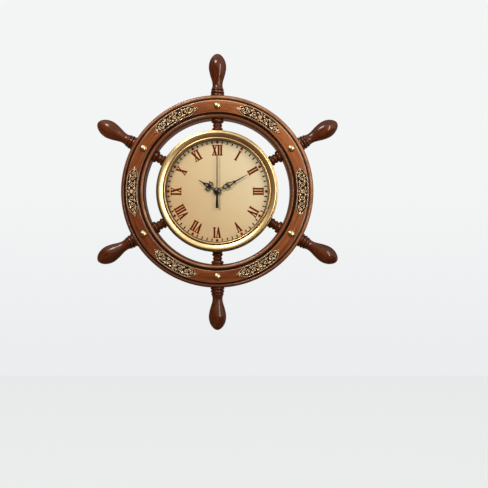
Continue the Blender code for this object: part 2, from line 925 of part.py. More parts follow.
def make_second_hand():
    """A slim sweep hand with a bar-shaped counterweight, and the cap over its hub."""
    bore_r = arbor_r + running_gap
    hub_r = bore_r + second_hub_wall
    half = [(0, -second_tail_length), (second_tail_half_width, -second_tail_length)]
    half += [(second_root_half_width, -hub_r), (hub_r, -hub_r / 2), (hub_r, hub_r / 2)]
    half += [(second_root_half_width, hub_r), (second_tip_half_width, second_hand_length)]
    half += [(0, second_hand_length)]
    outlines = [mirrored_outline(half), ring_points(bore_r, dowel_sides)]
    mesh = sheet_mesh("second_hand", outlines, second_hand_thickness)
    height = second_hand_height + second_hand_thickness / 2
    place("second_hand", mesh, "red_brown_enamel", (0, 0, height), (0, 0, -second_hand_angle))
    cap = [
        (0, second_cap_depth),
        (second_cap_r * 2 / 3, second_cap_depth * 3 / 4),
        (second_cap_r, 0),
        (bore_r, 0),
        (bore_r, second_cap_bore_depth),
        (0, second_cap_bore_depth),
    ]
    mesh = turned_mesh("second_hand_cap", cap, small_sides)
    place("second_hand_cap", mesh, "black_enamel", (0, 0, second_cap_height))


def make_bush_nut():
    """The washer and the nut that clamp the dial and case to the movement's bush."""
    bore_r = bush_r + fit_gap
    washer = tube_mesh("bush_washer", bush_r + washer_margin, bore_r, washer_thickness)
    place("bush_washer", washer, "steel", (0, 0, washer_height))
    nut = tube_mesh("bush_nut", bush_r + bush_nut_wall, bore_r, bush_nut_thickness)
    place("bush_nut", nut, "brass", (0, 0, bush_nut_height))


# Gear train

centre_place = (0, 0)
fifth_place = beyond(centre_place, arbor_ring_r, fifth_direction)
rotor_place = beyond(fifth_place, rotor_distance, rotor_direction)
third_place = beyond(centre_place, arbor_ring_r, third_direction)
minute_place = beyond(centre_place, arbor_ring_r, minute_direction)
board_left = minute_place[0] + board_gap


def gear_module(distance, teeth, mate_teeth):
    """The module that makes two wheels mesh at a distance."""
    return 2 * distance / (teeth + mate_teeth)


def toothed_mesh(name, teeth, module, aim, thickness, bore_r=0):
    """A gear standing on z = 0: a wheel has a gap, and a pinion a leaf, facing its mate."""
    pitch_r = module * teeth / 2
    root_r = pitch_r - dedendum_share * module
    half_pitch = math.pi / teeth
    if teeth > 2 * cannon_leaves:
        start = aim + half_pitch
        tip_r = pitch_r + wheel_addendum_share * module
        corners = [(tip_r, -wheel_tip_share), (tip_r, wheel_tip_share), (root_r, 1)]
    else:
        start = aim
        tip_r = pitch_r + leaf_addendum_share * module
        corners = [(root_r, -leaf_root_share), (tip_r, -leaf_tip_share)]
        corners += [(tip_r, leaf_tip_share), (root_r, leaf_root_share)]
    edge = []
    for tooth in range(teeth):
        middle = start + 2 * half_pitch * tooth
        edge += [polar(radius, middle + share * half_pitch) for radius, share in corners]
    outlines = [edge]
    if bore_r:
        outlines.append(ring_points(bore_r, small_sides))
    mesh = sheet_mesh(name, outlines, thickness)
    for vertex in mesh.vertices:
        vertex.co.z += thickness / 2
    return mesh


def gear_piece(name, shaft, at, gears, finish="white_plastic"):
    """A shaft or pipe with its wheel and pinion, moulded as one piece."""
    piece = place(name, shaft, finish, (*at, 0))
    wheels = [tool(name + "_gear", mesh, (*at, level)) for mesh, level in gears]
    shape_with(piece, wheels, "UNION")


def solid_arbor(name, radius, back, front):
    section = [(0, front), (radius, front), (radius, back), (0, back)]
    return turned_mesh(name, section, dowel_sides)


def pipe(name, outer_r, inner_r, back, front):
    section = [(outer_r, front), (outer_r, back), (inner_r, back), (inner_r, front)]
    return turned_mesh(name, section, small_sides, closed=True)


def make_gear_train():
    """From the motor's rotor down to the second, minute and hour hands."""
    inner_front = floor_height - fit_gap
    pinion_drop = (pinion_thickness - gear_thickness) / 2

    to_fifth = direction(rotor_place, fifth_place)
    module = gear_module(rotor_distance, rotor_leaves, fifth_teeth)
    gear_piece(
        "rotor",
        solid_arbor("rotor", arbor_r, arbor_back, inner_front),
        rotor_place,
        [
            (
                toothed_mesh("rotor", rotor_leaves, module, to_fifth, pinion_thickness),
                fifth_level - pinion_drop,
            ),
            (rod_mesh("magnet", magnet_r, magnet_length), magnet_level),
        ],
        "magnet_black",
    )
    fifth_wheel = toothed_mesh(
        "fifth_wheel", fifth_teeth, module, to_fifth + math.pi, gear_thickness
    )

    to_centre = direction(fifth_place, centre_place)
    module = second_module
    fifth_pinion = toothed_mesh("fifth", fifth_leaves, module, to_centre, pinion_thickness)
    gear_piece(
        "fifth_wheel",
        solid_arbor("fifth_wheel", arbor_r, arbor_back, inner_front),
        fifth_place,
        [(fifth_wheel, fifth_level), (fifth_pinion, second_level - pinion_drop)],
    )
    second_wheel = toothed_mesh(
        "second_wheel", second_teeth, module, to_centre + math.pi, gear_thickness
    )

    module = gear_module(arbor_ring_r, second_leaves, third_teeth)
    second_pinion = toothed_mesh(
        "second", second_leaves, module, third_direction, pinion_thickness
    )
    cap_floor = second_hand_height + second_hand_thickness + second_cap_bore_depth
    gear_piece(
        "second_wheel",
        solid_arbor("second_wheel", arbor_r, arbor_back, cap_floor),
        centre_place,
        [(second_wheel, second_level), (second_pinion, third_level - pinion_drop)],
    )
    third_wheel = toothed_mesh(
        "third_wheel", third_teeth, module, third_direction + math.pi, gear_thickness
    )

    module = gear_module(arbor_ring_r, third_leaves, centre_teeth)
    third_pinion = toothed_mesh(
        "third", third_leaves, module, third_direction + math.pi, pinion_thickness
    )
    gear_piece(
        "third_wheel",
        solid_arbor("third_wheel", arbor_r, arbor_back, inner_front),
        third_place,
        [(third_wheel, third_level), (third_pinion, centre_level - pinion_drop)],
    )

    wall_middle_r = (minute_pipe_r + minute_pipe_bore_r) / 2
    centre_wheel = toothed_mesh(
        "centre_wheel", centre_teeth, module, third_direction, gear_thickness, wall_middle_r
    )
    module = gear_module(arbor_ring_r, cannon_leaves, minute_teeth)
    cannon = toothed_mesh(
        "cannon", cannon_leaves, module, minute_direction, pinion_thickness, wall_middle_r
    )
    pipe_front = minute_nut_height + minute_nut_thickness
    gear_piece(
        "centre_wheel",
        pipe("centre_wheel", minute_pipe_r, minute_pipe_bore_r, centre_level, pipe_front),
        centre_place,
        [(centre_wheel, centre_level), (cannon, minute_level - pinion_drop)],
    )

    minute_wheel = toothed_mesh(
        "minute_wheel", minute_teeth, module, minute_direction + math.pi, gear_thickness
    )
    module = gear_module(arbor_ring_r, minute_leaves, hour_teeth)
    minute_pinion = toothed_mesh(
        "minute", minute_leaves, module, minute_direction + math.pi, pinion_thickness
    )
    knob_floor = bridge_back - knob_gap - knob_socket_depth + fit_gap
    gear_piece(
        "minute_wheel",
        solid_arbor("minute_wheel", arbor_r, knob_floor, inner_front),
        minute_place,
        [(minute_wheel, minute_level), (minute_pinion, hour_level - pinion_drop)],
    )

    wall_middle_r = (hour_pipe_r + hour_pipe_bore_r) / 2
    hour_wheel = toothed_mesh(
        "hour_wheel", hour_teeth, module, minute_direction, gear_thickness, wall_middle_r
    )
    pipe_front = hour_hand_height + hand_thickness + fit_gap
    gear_piece(
        "hour_wheel",
        pipe("hour_wheel", hour_pipe_r, hour_pipe_bore_r, hour_level, pipe_front),
        centre_place,
        [(hour_wheel, hour_level)],
    )


def make_setting_knob():
    """The knob behind the movement that turns the hands through the minute wheel."""
    bore_r = arbor_r + fit_gap
    knob_thickness = bridge_back - knob_gap - knob_back
    section = [
        (bore_r, knob_thickness),
        (knob_r * 2 / 3, knob_thickness),
        (knob_r, knob_thickness / 2),
        (knob_r, 0),
        (0, 0),
        (0, knob_thickness - knob_socket_depth),
        (bore_r, knob_thickness - knob_socket_depth),
    ]
    mesh = turned_mesh("setting_knob", section, small_sides, closed=True)
    place("setting_knob", mesh, "black_plastic", (*minute_place, knob_back))


# Movement housing


def make_movement_shell():
    """The open-backed box that holds the train, with the battery's bay and the threaded bush."""
    middle_y = (movement_top + movement_bottom) / 2
    box = block_mesh(
        "movement_shell",
        2 * movement_half_width,
        movement_top - movement_bottom,
        movement_front - movement_back,
    )
    middle = (movement_front + movement_back) / 2
    shell = place("movement_shell", box, "black_plastic", (0, middle_y, middle))
    rounding = shell.modifiers.new("Corners", "BEVEL")
    rounding.width = movement_corner
    rounding.segments = 1
    rounding.limit_method = "ANGLE"
    bush_back = movement_front - movement_front_wall / 2
    bush = rod_mesh("bush", bush_r, bush_front - bush_back)
    shape_with(shell, [tool("bush", bush, (0, 0, bush_back))], "UNION")

    depth = floor_height - movement_back + cut_overrun
    middle = (floor_height + movement_back - cut_overrun) / 2
    cavity_top = movement_top - movement_wall
    bay_bottom = movement_bottom + movement_wall
    cavity = block_mesh("cavity", 2 * half_inside, cavity_top - train_foot, depth)
    bay = block_mesh("bay", 2 * half_inside, bay_top - bay_bottom, depth)
    bore = rod_mesh("bore", bush_bore_r, bush_front - floor_height + 2 * cut_overrun)
    tools = [
        tool("cavity", cavity, (0, (cavity_top + train_foot) / 2, middle)),
        tool("bay", bay, (0, (bay_top + bay_bottom) / 2, middle)),
        tool("bore", bore, (0, 0, floor_height - cut_overrun)),
    ]
    shape_with(shell, tools, "DIFFERENCE")


def make_back_cover():
    """The cover behind the train, with the setting knob's window."""
    edge = box_points(-movement_half_width, movement_half_width, bay_top, movement_top)
    window = ring_points(knob_r + knob_window_gap, small_sides, minute_place)
    outlines = [edge, window]
    mesh = sheet_mesh("movement_back_cover", outlines, cover_thickness)
    height = cover_back + cover_thickness / 2
    place("movement_back_cover", mesh, "black_plastic", (0, 0, height))


def make_battery():
    """The AA cell across the bay, and the two contacts that hold its ends."""
    bay_y = bay_top - battery_r - fit_gap
    section = [
        (0, battery_length + battery_nub_length),
        (battery_nub_r, battery_length + battery_nub_length),
        (battery_nub_r, battery_length),
        (battery_r, battery_length),
        (battery_r, 0),
        (0, 0),
    ]
    left = -(battery_length + battery_nub_length) / 2
    mesh = turned_mesh("battery", section, small_sides)
    place("battery", mesh, "battery_jacket", (left, bay_y, battery_height), (0, quarter_turn, 0))
    contact = block_mesh("battery_contact", contact_thickness, contact_size, contact_size)
    for name, side in (("battery_contact_minus", -1), ("battery_contact_plus", 1)):
        x = side * (half_inside - fit_gap - contact_thickness / 2)
        place(name, contact, "steel", (x, bay_y, battery_height))


def make_bridge():
    """The plate behind the wheels that carries their back pivots, on its three pillars."""
    margin = 3 * arbor_r + pillar_r
    foot = train_foot + fit_gap
    left = rotor_place[0] - margin
    right = board_left - 2 * fit_gap
    top = third_place[1] + 2 * margin
    step_y = rotor_place[1] + margin
    step_x = third_place[0] - margin
    edge = [(left, foot), (right, foot), (right, top), (step_x, top)]
    edge += [(fifth_place[0], step_y), (left, step_y)]
    pivots = (centre_place, fifth_place, rotor_place, third_place, minute_place)
    holes = [ring_points(arbor_r + running_gap, dowel_sides, pivot) for pivot in pivots]
    mesh = sheet_mesh("train_bridge", [edge] + holes, bridge_thickness)
    middle = bridge_back + bridge_thickness / 2
    bridge = place("train_bridge", mesh, "white_plastic", (0, 0, middle))
    pillar = rod_mesh("pillar", pillar_r, floor_height - fit_gap - middle, dowel_sides)
    low = foot + 2 * pillar_r
    high = top - 2 * pillar_r
    pillar_places = (
        (-minute_place[0], low),
        (minute_place[0], low),
        (right - 2 * pillar_r, high),
    )
    pillars = [tool("pillar", pillar, (*spot, middle)) for spot in pillar_places]
    shape_with(bridge, pillars, "UNION")


def make_motor():
    """The stator round the rotor's magnet, its core and the coil."""
    hole_r = magnet_r + magnet_gap
    left = -half_inside + fit_gap
    right = rotor_place[0] + hole_r + stator_rim
    arm_left = right - stator_arm_width
    foot = rotor_place[1] - hole_r - stator_rim
    shoulder = rotor_place[1] + hole_r + stator_rim
    top = movement_top - movement_wall - stator_top_gap
    edge = [
        (left, foot),
        (right, foot),
        (right, top),
        (left, top),
        (left, top - stator_arm_width),
        (arm_left, top - stator_arm_width),
        (arm_left, shoulder),
        (left, shoulder),
    ]
    outlines = [edge, ring_points(hole_r, small_sides, rotor_place)]
    stator = sheet_mesh("stator", outlines, stator_thickness)
    place("stator", stator, "steel", (0, 0, stator_level + stator_thickness / 2))

    core_x = (left + arm_left) / 2
    core_foot = shoulder - stator_rim
    core_top = top - 2 * fit_gap
    core_level = stator_level + stator_thickness + fit_gap + stator_thickness / 2
    core = block_mesh("coil_core", core_width, core_top - core_foot, stator_thickness)
    place("coil_core", core, "steel", (core_x, (core_top + core_foot) / 2, core_level))

    low = shoulder + 2 * fit_gap
    length = top - stator_arm_width - 2 * fit_gap - low
    section = [
        (coil_r, length),
        (coil_r, length - coil_flange),
        (coil_waist_r, length - coil_flange),
        (coil_waist_r, coil_flange),
        (coil_r, coil_flange),
        (coil_r, 0),
        (coil_bore_r, 0),
        (coil_bore_r, length),
    ]
    coil = turned_mesh("coil", section, stud_sides, closed=True)
    place("coil", coil, "copper_wire", (core_x, low, core_level), (-quarter_turn, 0, 0))


def make_circuit():
    """The circuit board against the shell's side wall and the crystal can on it."""
    right = half_inside - fit_gap
    foot = train_foot + fit_gap
    top = movement_top - movement_wall - board_top_gap
    level = bridge_back + bridge_thickness + board_lift
    board = block_mesh("circuit_board", right - board_left, top - foot, board_thickness)
    middle = (right + board_left) / 2
    seat = (middle, (top + foot) / 2, level + board_thickness / 2)
    place("circuit_board", board, "board_green", seat)
    crystal = rod_mesh("crystal", crystal_r, crystal_length, dowel_sides)
    seat = (
        middle,
        top - crystal_drop - crystal_length,
        level + board_thickness + fit_gap + crystal_r,
    )
    place("quartz_crystal", crystal, "steel", seat, (-quarter_turn, 0, 0))


make_rim()
make_hanger()
make_handles()
make_spokes()
make_studs()
make_scroll_plates()
make_case()
make_bezel()
make_dial_and_glass()
make_hour_hand()
make_minute_hand()
make_second_hand()
make_bush_nut()
make_movement_shell()
make_back_cover()
make_battery()
make_bridge()
make_motor()
make_circuit()
make_gear_train()
make_setting_knob()
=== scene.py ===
from math import cos, pi, radians, sin, tau

import bmesh
import bpy
from mathutils import Matrix, Vector


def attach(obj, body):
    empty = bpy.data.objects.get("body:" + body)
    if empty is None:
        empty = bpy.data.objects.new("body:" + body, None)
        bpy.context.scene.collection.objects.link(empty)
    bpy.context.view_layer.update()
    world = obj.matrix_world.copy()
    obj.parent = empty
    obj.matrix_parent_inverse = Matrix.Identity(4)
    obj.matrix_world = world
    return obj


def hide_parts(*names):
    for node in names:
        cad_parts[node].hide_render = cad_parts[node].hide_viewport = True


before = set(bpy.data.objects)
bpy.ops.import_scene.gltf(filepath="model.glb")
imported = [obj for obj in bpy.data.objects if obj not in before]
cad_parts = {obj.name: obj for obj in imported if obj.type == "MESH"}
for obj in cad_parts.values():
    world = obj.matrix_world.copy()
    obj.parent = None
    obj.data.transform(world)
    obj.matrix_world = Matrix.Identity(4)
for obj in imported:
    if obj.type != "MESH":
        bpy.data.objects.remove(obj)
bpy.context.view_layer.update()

print("frame loaded:", len(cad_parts), "nodes")

# The clock is built in its face frame: x to the right, y up, z towards the viewer, from the
# wheel's axis in the plane of its back. faceFrame stands that upright, with the origin at the
# screw that the clock hangs from.
wheel = {
    "hookRise": 0.138,  # from the wheel's axis up to the screw
    "bandInnerR": 0.1279,
    "bandOuterR": 0.1473,
    "bandMiddleR": 0.1376,
    "bandHeight": 0.0262,
    "standOff": 0.0003,  # of studs and plates from the band
    "armHeight": 0.0145,  # the axis of handles and spokes, from the back
    "arms": 6,
}
faceFrame = Matrix.Translation((0, 0, -wheel["hookRise"])) @ Matrix.Rotation(pi / 2, 4, "X")
fittingHeight = wheel["bandHeight"] + wheel["standOff"]


# ---- shared mesh helpers


def polar(radius, angle):
    return radius * cos(angle), radius * sin(angle)


def clockPlace(radius, angle):
    # a place by its clock angle, clockwise from twelve
    return radius * sin(angle), radius * cos(angle)


def smoothPath(points, steps):
    # a soft curve through the points; each point may hold any number of values
    last = len(points) - 1
    path = []
    for span in range(last):
        four = [points[min(max(span + k, 0), last)] for k in (-1, 0, 1, 2)]
        for step in range(steps):
            t = step / steps
            path.append(tuple(
                0.5 * (2 * b + (c - a) * t + (2 * a - 5 * b + 4 * c - d) * t ** 2
                       + (3 * b - a - 3 * c + d) * t ** 3)
                for a, b, c, d in zip(*four)
            ))
    return path + [tuple(points[-1])]


def easedCorners(corners, closed=False):
    # corners of (x, y, rounding): each one is cut back and turned into a small arc
    steps, most, count = 3, 0.48, len(corners)
    path = []
    for index, (x, y, rounding) in enumerate(corners):
        if not rounding or (not closed and index in (0, count - 1)):
            path.append((x, y))
            continue
        here = Vector((x, y))
        sides = []
        for other in (corners[index - 1], corners[(index + 1) % count]):
            away = Vector(other[:2]) - here
            sides.append(here + away.normalized() * min(rounding, away.length * most))
        for step in range(steps + 1):
            t = step / steps
            point = sides[0] * (1 - t) ** 2 + here * 2 * t * (1 - t) + sides[1] * t ** 2
            path.append((point.x, point.y))
    return path


def arcRun(innerR, outerR, foot, crest, steps, lean=1.0):
    # a rounded bead's section between two radii; a lean under 1 moves its crest outwards
    run = []
    for step in range(steps + 1):
        turn = pi * step / steps
        across = ((1 - cos(turn)) / 2) ** lean
        run.append((innerR + (outerR - innerR) * across, foot + (crest - foot) * sin(turn)))
    return run


def dome(radius, foot, rise, steps):
    # a rounded top's section, from just inside its edge to the middle
    quarter = [pi / 2 * step / steps for step in range(1, steps + 1)]
    return [(radius * cos(turn), foot + rise * sin(turn)) for turn in quarter]


def pegEnd(radius, start, reach):
    # a peg's section from where it starts to its far end
    return [(radius, start), (radius, start + reach), (0, start + reach)]


def circle(radius, count, centre=(0, 0)):
    steps = [tau * step / count for step in range(count)]
    return [(centre[0] + radius * cos(t), centre[1] + radius * sin(t)) for t in steps]


def smoothed(mesh, crease):
    # smooth, but with an edge where faces meet at more than the crease, in degrees
    mesh.shade_smooth()
    mesh.set_sharp_from_angle(angle=radians(crease))
    return mesh


def meshFrom(name, points, faces, crease=40, weld=1e-7):
    mesh = bpy.data.meshes.new(name)
    mesh.from_pydata(points, [], faces)
    shape = bmesh.new()
    shape.from_mesh(mesh)
    if weld:
        bmesh.ops.remove_doubles(shape, verts=shape.verts, dist=weld)
    bmesh.ops.recalc_face_normals(shape, faces=shape.faces)
    shape.to_mesh(mesh)
    shape.free()
    return smoothed(mesh, crease) if crease else mesh


def turned(profile, sides, closed=False):
    # points and faces of a profile of (radius, height) turned round z
    points, faces, rings = [], [], []
    for radius, height in profile:
        if radius < 1e-7:
            rings.append([len(points)])
            points.append((0, 0, height))
        else:
            rings.append([len(points) + side for side in range(sides)])
            points += [(*polar(radius, tau * side / sides), height) for side in range(sides)]
    pairs = list(zip(rings, rings[1:]))
    if closed:
        pairs.append((rings[-1], rings[0]))
    for one, two in pairs:
        for side in range(sides):
            after = (side + 1) % sides
            corner = [one[side % len(one)], one[after % len(one)],
                      two[after % len(two)], two[side % len(two)]]
            corner = list(dict.fromkeys(corner))
            if len(corner) > 2:
                faces.append(corner)
    return points, faces


def turnedMesh(name, profile, sides, closed=False, crease=40):
    return meshFrom(name, *turned(profile, sides, closed), crease=crease)


def joined(parts):
    # one list of points and one of faces from several shapes
    points, faces = [], []
    for shapePoints, shapeFaces in parts:
        start = len(points)
        points += list(shapePoints)
        faces += [[start + corner for corner in face] for face in shapeFaces]
    return points, faces


def moved(shape, matrix):
    points, faces = shape
    return [tuple(matrix @ Vector(point)) for point in points], faces


leastHalf = 0.00008  # half the width that a stroke keeps at its thinnest


def ridge(path, foot=0.0, closed=False):
    # a raised stroke along a path of (x, y, half width, height): flat below and rounded above
    steps, fullness = 6, 0.55
    section = [(1, 0)]
    for step in range(1, steps):
        turn = pi * step / steps
        section.append((cos(turn), sin(turn) ** fullness))
    section.append((-1, 0))
    points, faces = [], []
    count, wide = len(path), len(section)
    for index, (x, y, half, height) in enumerate(path):
        if closed:
            before, after = path[index - 1], path[(index + 1) % count]
        else:
            before, after = path[max(index - 1, 0)], path[min(index + 1, count - 1)]
        along = Vector((after[0] - before[0], after[1] - before[1]))
        along = along.normalized() if along.length else Vector((1, 0))
        across = Vector((along.y, -along.x))
        for side, rise in section:
            points.append((x + across.x * side * half, y + across.y * side * half,
                           foot + rise * height))
    spans = count if closed else count - 1
    for span in range(spans):
        here, there = span * wide, ((span + 1) % count) * wide
        for step in range(wide):
            after = (step + 1) % wide
            faces.append([here + step, here + after, there + after, there + step])
    if not closed:
        faces.append(list(range(wide)))
        faces.append([(count - 1) * wide + step for step in range(wide)])
    return points, faces


def newObject(name, data):
    made = bpy.data.objects.new(name, data)
    bpy.context.scene.collection.objects.link(made)
    return made


def meshOf(thing):
    # what an object's curve or modifiers come to
    bpy.context.view_layer.update()
    depsgraph = bpy.context.evaluated_depsgraph_get()
    return bpy.data.meshes.new_from_object(thing.evaluated_get(depsgraph))


def sheetMesh(name, outlines, thickness, edge=0.0):
    # a flat shape with its openings, centred on z = 0; an edge rounds its rims
    curve = bpy.data.curves.new(name, "CURVE")
    curve.dimensions = "2D"
    curve.fill_mode = "BOTH"
    curve.extrude = thickness / 2 - edge
    curve.bevel_depth = edge
    curve.bevel_resolution = 1
    for outline in outlines:
        spline = curve.splines.new("POLY")
        spline.points.add(len(outline) - 1)
        for point, (x, y) in zip(spline.points, outline):
            point.co = (x, y, 0, 1)
        spline.use_cyclic_u = True
    drawn = newObject(name, curve)
    mesh = meshOf(drawn)
    bpy.data.objects.remove(drawn)
    welded = bmesh.new()
    welded.from_mesh(mesh)
    bmesh.ops.remove_doubles(welded, verts=welded.verts, dist=1e-6)
    welded.to_mesh(mesh)
    welded.free()
    return smoothed(mesh, 30)


def boxMesh(name, size, edge=0.0):
    # a block centred on its origin; an edge rounds it
    shape = bmesh.new()
    bmesh.ops.create_cube(shape, size=1)
    bmesh.ops.scale(shape, vec=size, verts=shape.verts)
    if edge:
        bmesh.ops.bevel(shape, geom=list(shape.edges), offset=edge, segments=3,
                        profile=0.5, affect="EDGES")
    mesh = bpy.data.meshes.new(name)
    shape.to_mesh(mesh)
    shape.free()
    return smoothed(mesh, 35)


def carve(mesh, cutters, crease=40):
    # cuts shapes of (mesh, matrix) out of a mesh
    holder = newObject(mesh.name, mesh)
    spares = [holder]
    for cutter, matrix in cutters:
        tool = newObject("cutter", cutter)
        tool.matrix_world = matrix
        cut = holder.modifiers.new("cut", "BOOLEAN")
        cut.operation = "DIFFERENCE"
        cut.solver = "EXACT"
        cut.object = tool
        spares.append(tool)
    result = meshOf(holder)
    for spare in spares:
        bpy.data.objects.remove(spare)
    result.name = mesh.name
    return smoothed(result, crease)


# ---- placing pieces


def raised(height):
    return Matrix.Translation((0, 0, height))


def addPiece(name, mesh, finishes, node=None, at=None, body="clock"):
    piece = newObject(name, mesh)
    piece.matrix_world = faceFrame @ (at or Matrix())
    if not mesh.materials:
        for finish in finishes:
            mesh.materials.append(finish)
    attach(piece, body)
    if node:
        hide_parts(node)


def addAround(name, mesh, finishes, node, place, lead=0.0):
    # the same piece at each arm, or between the arms with a lead of half a step
    for number in range(wheel["arms"]):
        angle = tau * (number + lead) / wheel["arms"]
        addPiece(f"{name}{number + 1}", mesh, finishes, f"{node}_{number + 1}",
                 place(angle))


def armFrame(radius, angle):
    # stands a piece's own z along the wheel's radius at a clock angle
    place = Matrix.Translation((*clockPlace(radius, angle), wheel["armHeight"]))
    return place @ Matrix.Rotation(-angle, 4, "Z") @ Matrix.Rotation(-pi / 2, 4, "X")


# ---- shared node helpers


def startFinish(name):
    material = bpy.data.materials.new(name)
    material.use_nodes = True
    tree = material.node_tree
    return material, tree, tree.nodes["Principled BSDF"]


def fill(node, values):
    for key, value in values.items():
        node.inputs[key].default_value = value


def addNode(tree, kind, values=None, **settings):
    made = tree.nodes.new("ShaderNode" + kind)
    for key, value in settings.items():
        setattr(made, key, value)
    fill(made, values or {})
    return made


def wire(source, target):
    # an output, as any part of a tree, knows its tree as id_data
    source.id_data.links.new(source, target)


def feed(value, target):
    # wires an output, or sets a number or colour
    if isinstance(value, bpy.types.NodeSocket):
        wire(value, target)
    else:
        target.default_value = value


def feedColour(colour, target):
    feed(colour if isinstance(colour, bpy.types.NodeSocket) else (*colour, 1), target)


def addRamp(source, stops):
    # stops of (place, colour)
    ramp = addNode(source.id_data, "ValToRGB")
    bands = ramp.color_ramp.elements
    while len(bands) < len(stops):
        bands.new(0.5)
    for band, (place, colour) in zip(bands, stops):
        band.position = place
        band.color = (*colour, 1)
    wire(source, ramp.inputs["Fac"])
    return ramp.outputs["Color"]


def addRange(source, low, high, outLow, outHigh):
    spread = addNode(source.id_data, "MapRange", {
        "From Min": low, "From Max": high, "To Min": outLow, "To Max": outHigh})
    wire(source, spread.inputs["Value"])
    return spread.outputs["Result"]


def byRadius(radius, stops):
    # a value that follows the radius across a turned moulding, from (radius, value) stops
    low, high = stops[0][0], stops[-1][0]
    place = addRange(radius, low, high, 0, 1)
    return addRamp(place, [((at - low) / (high - low), (value,) * 3) for at, value in stops])


def blendColours(factor, one, two):
    mix = addNode(factor.id_data, "Mix", data_type="RGBA")
    wire(factor, mix.inputs["Factor"])
    feedColour(one, mix.inputs[6])
    feedColour(two, mix.inputs[7])
    return mix.outputs[2]


def blendShaders(factor, one, two):
    mix = addNode(factor.id_data, "MixShader")
    for source, target in zip((factor, one, two), mix.inputs):
        wire(source, target)
    return mix.outputs[0]


def doMath(operation, one, two):
    made = addNode(one.id_data, "Math", operation=operation)
    wire(one, made.inputs[0])
    feed(two, made.inputs[1])
    return made.outputs[0]


def times(one, two):
    return doMath("MULTIPLY", one, two)


def plus(one, two):
    return doMath("ADD", one, two)


def doVector(operation, one, two=None):
    made = addNode(one.id_data, "VectorMath", operation=operation)
    wire(one, made.inputs[0])
    if two is not None:
        feed(two, made.inputs[1])
    return made.outputs["Value" if operation == "LENGTH" else "Vector"]


def axesOf(vector):
    parts = addNode(vector.id_data, "SeparateXYZ")
    wire(vector, parts.inputs[0])
    return list(parts.outputs)


def addNoise(vector, scale, detail, roughness, weight=None, distortion=0.0):
    noise = addNode(vector.id_data, "TexNoise", {
        "Scale": scale, "Detail": detail, "Roughness": roughness, "Distortion": distortion})
    if weight is not None:
        noise.noise_dimensions = "4D"
        wire(weight, noise.inputs["W"])
    wire(vector, noise.inputs["Vector"])
    return noise.outputs["Fac"]


def objectCoords(tree):
    return addNode(tree, "TexCoord").outputs["Object"]


pieceSpread = 9.0  # how far the noise of like pieces shifts with their place


def pieceCoords(tree):
    # object coordinates, shifted by the piece's place so that like pieces differ
    shift = addNode(tree, "VectorMath", {"Scale": pieceSpread}, operation="SCALE")
    wire(addNode(tree, "ObjectInfo").outputs["Location"], shift.inputs[0])
    return doVector("ADD", objectCoords(tree), shift.outputs[0])


def stretchedCoords(tree, stretch):
    mapping = addNode(tree, "Mapping", {"Scale": stretch})
    wire(pieceCoords(tree), mapping.inputs["Vector"])
    return mapping.outputs[0]


def flatCoords(coords):
    # the place across the wheel's axis, and how far from the axis it is
    flat = doVector("MULTIPLY", coords, (1, 1, 0))
    return flat, doVector("LENGTH", flat)


usualNoise = (0.3, 0.7)  # where most of a noise's values lie


def giveSkin(shader, colour, fine, roughness, strength, height=None, distance=0.0001):
    # the colour, a roughness between two ends that follows the fine noise, and the bump
    wire(colour, shader.inputs["Base Color"])
    wire(addRange(fine, *usualNoise, *roughness), shader.inputs["Roughness"])
    bump = addNode(shader.id_data, "Bump", {"Strength": strength, "Distance": distance})
    wire(height or fine, bump.inputs["Height"])
    wire(bump.outputs["Normal"], shader.inputs["Normal"])


def creviceShade(tree, reach, low, high):
    # 0 deep in a groove and 1 on open faces
    shade = addNode(tree, "AmbientOcclusion", {"Distance": reach}, samples=8, only_local=True)
    return addRange(shade.outputs["AO"], low, high, 0, 1)


# ---- finishes

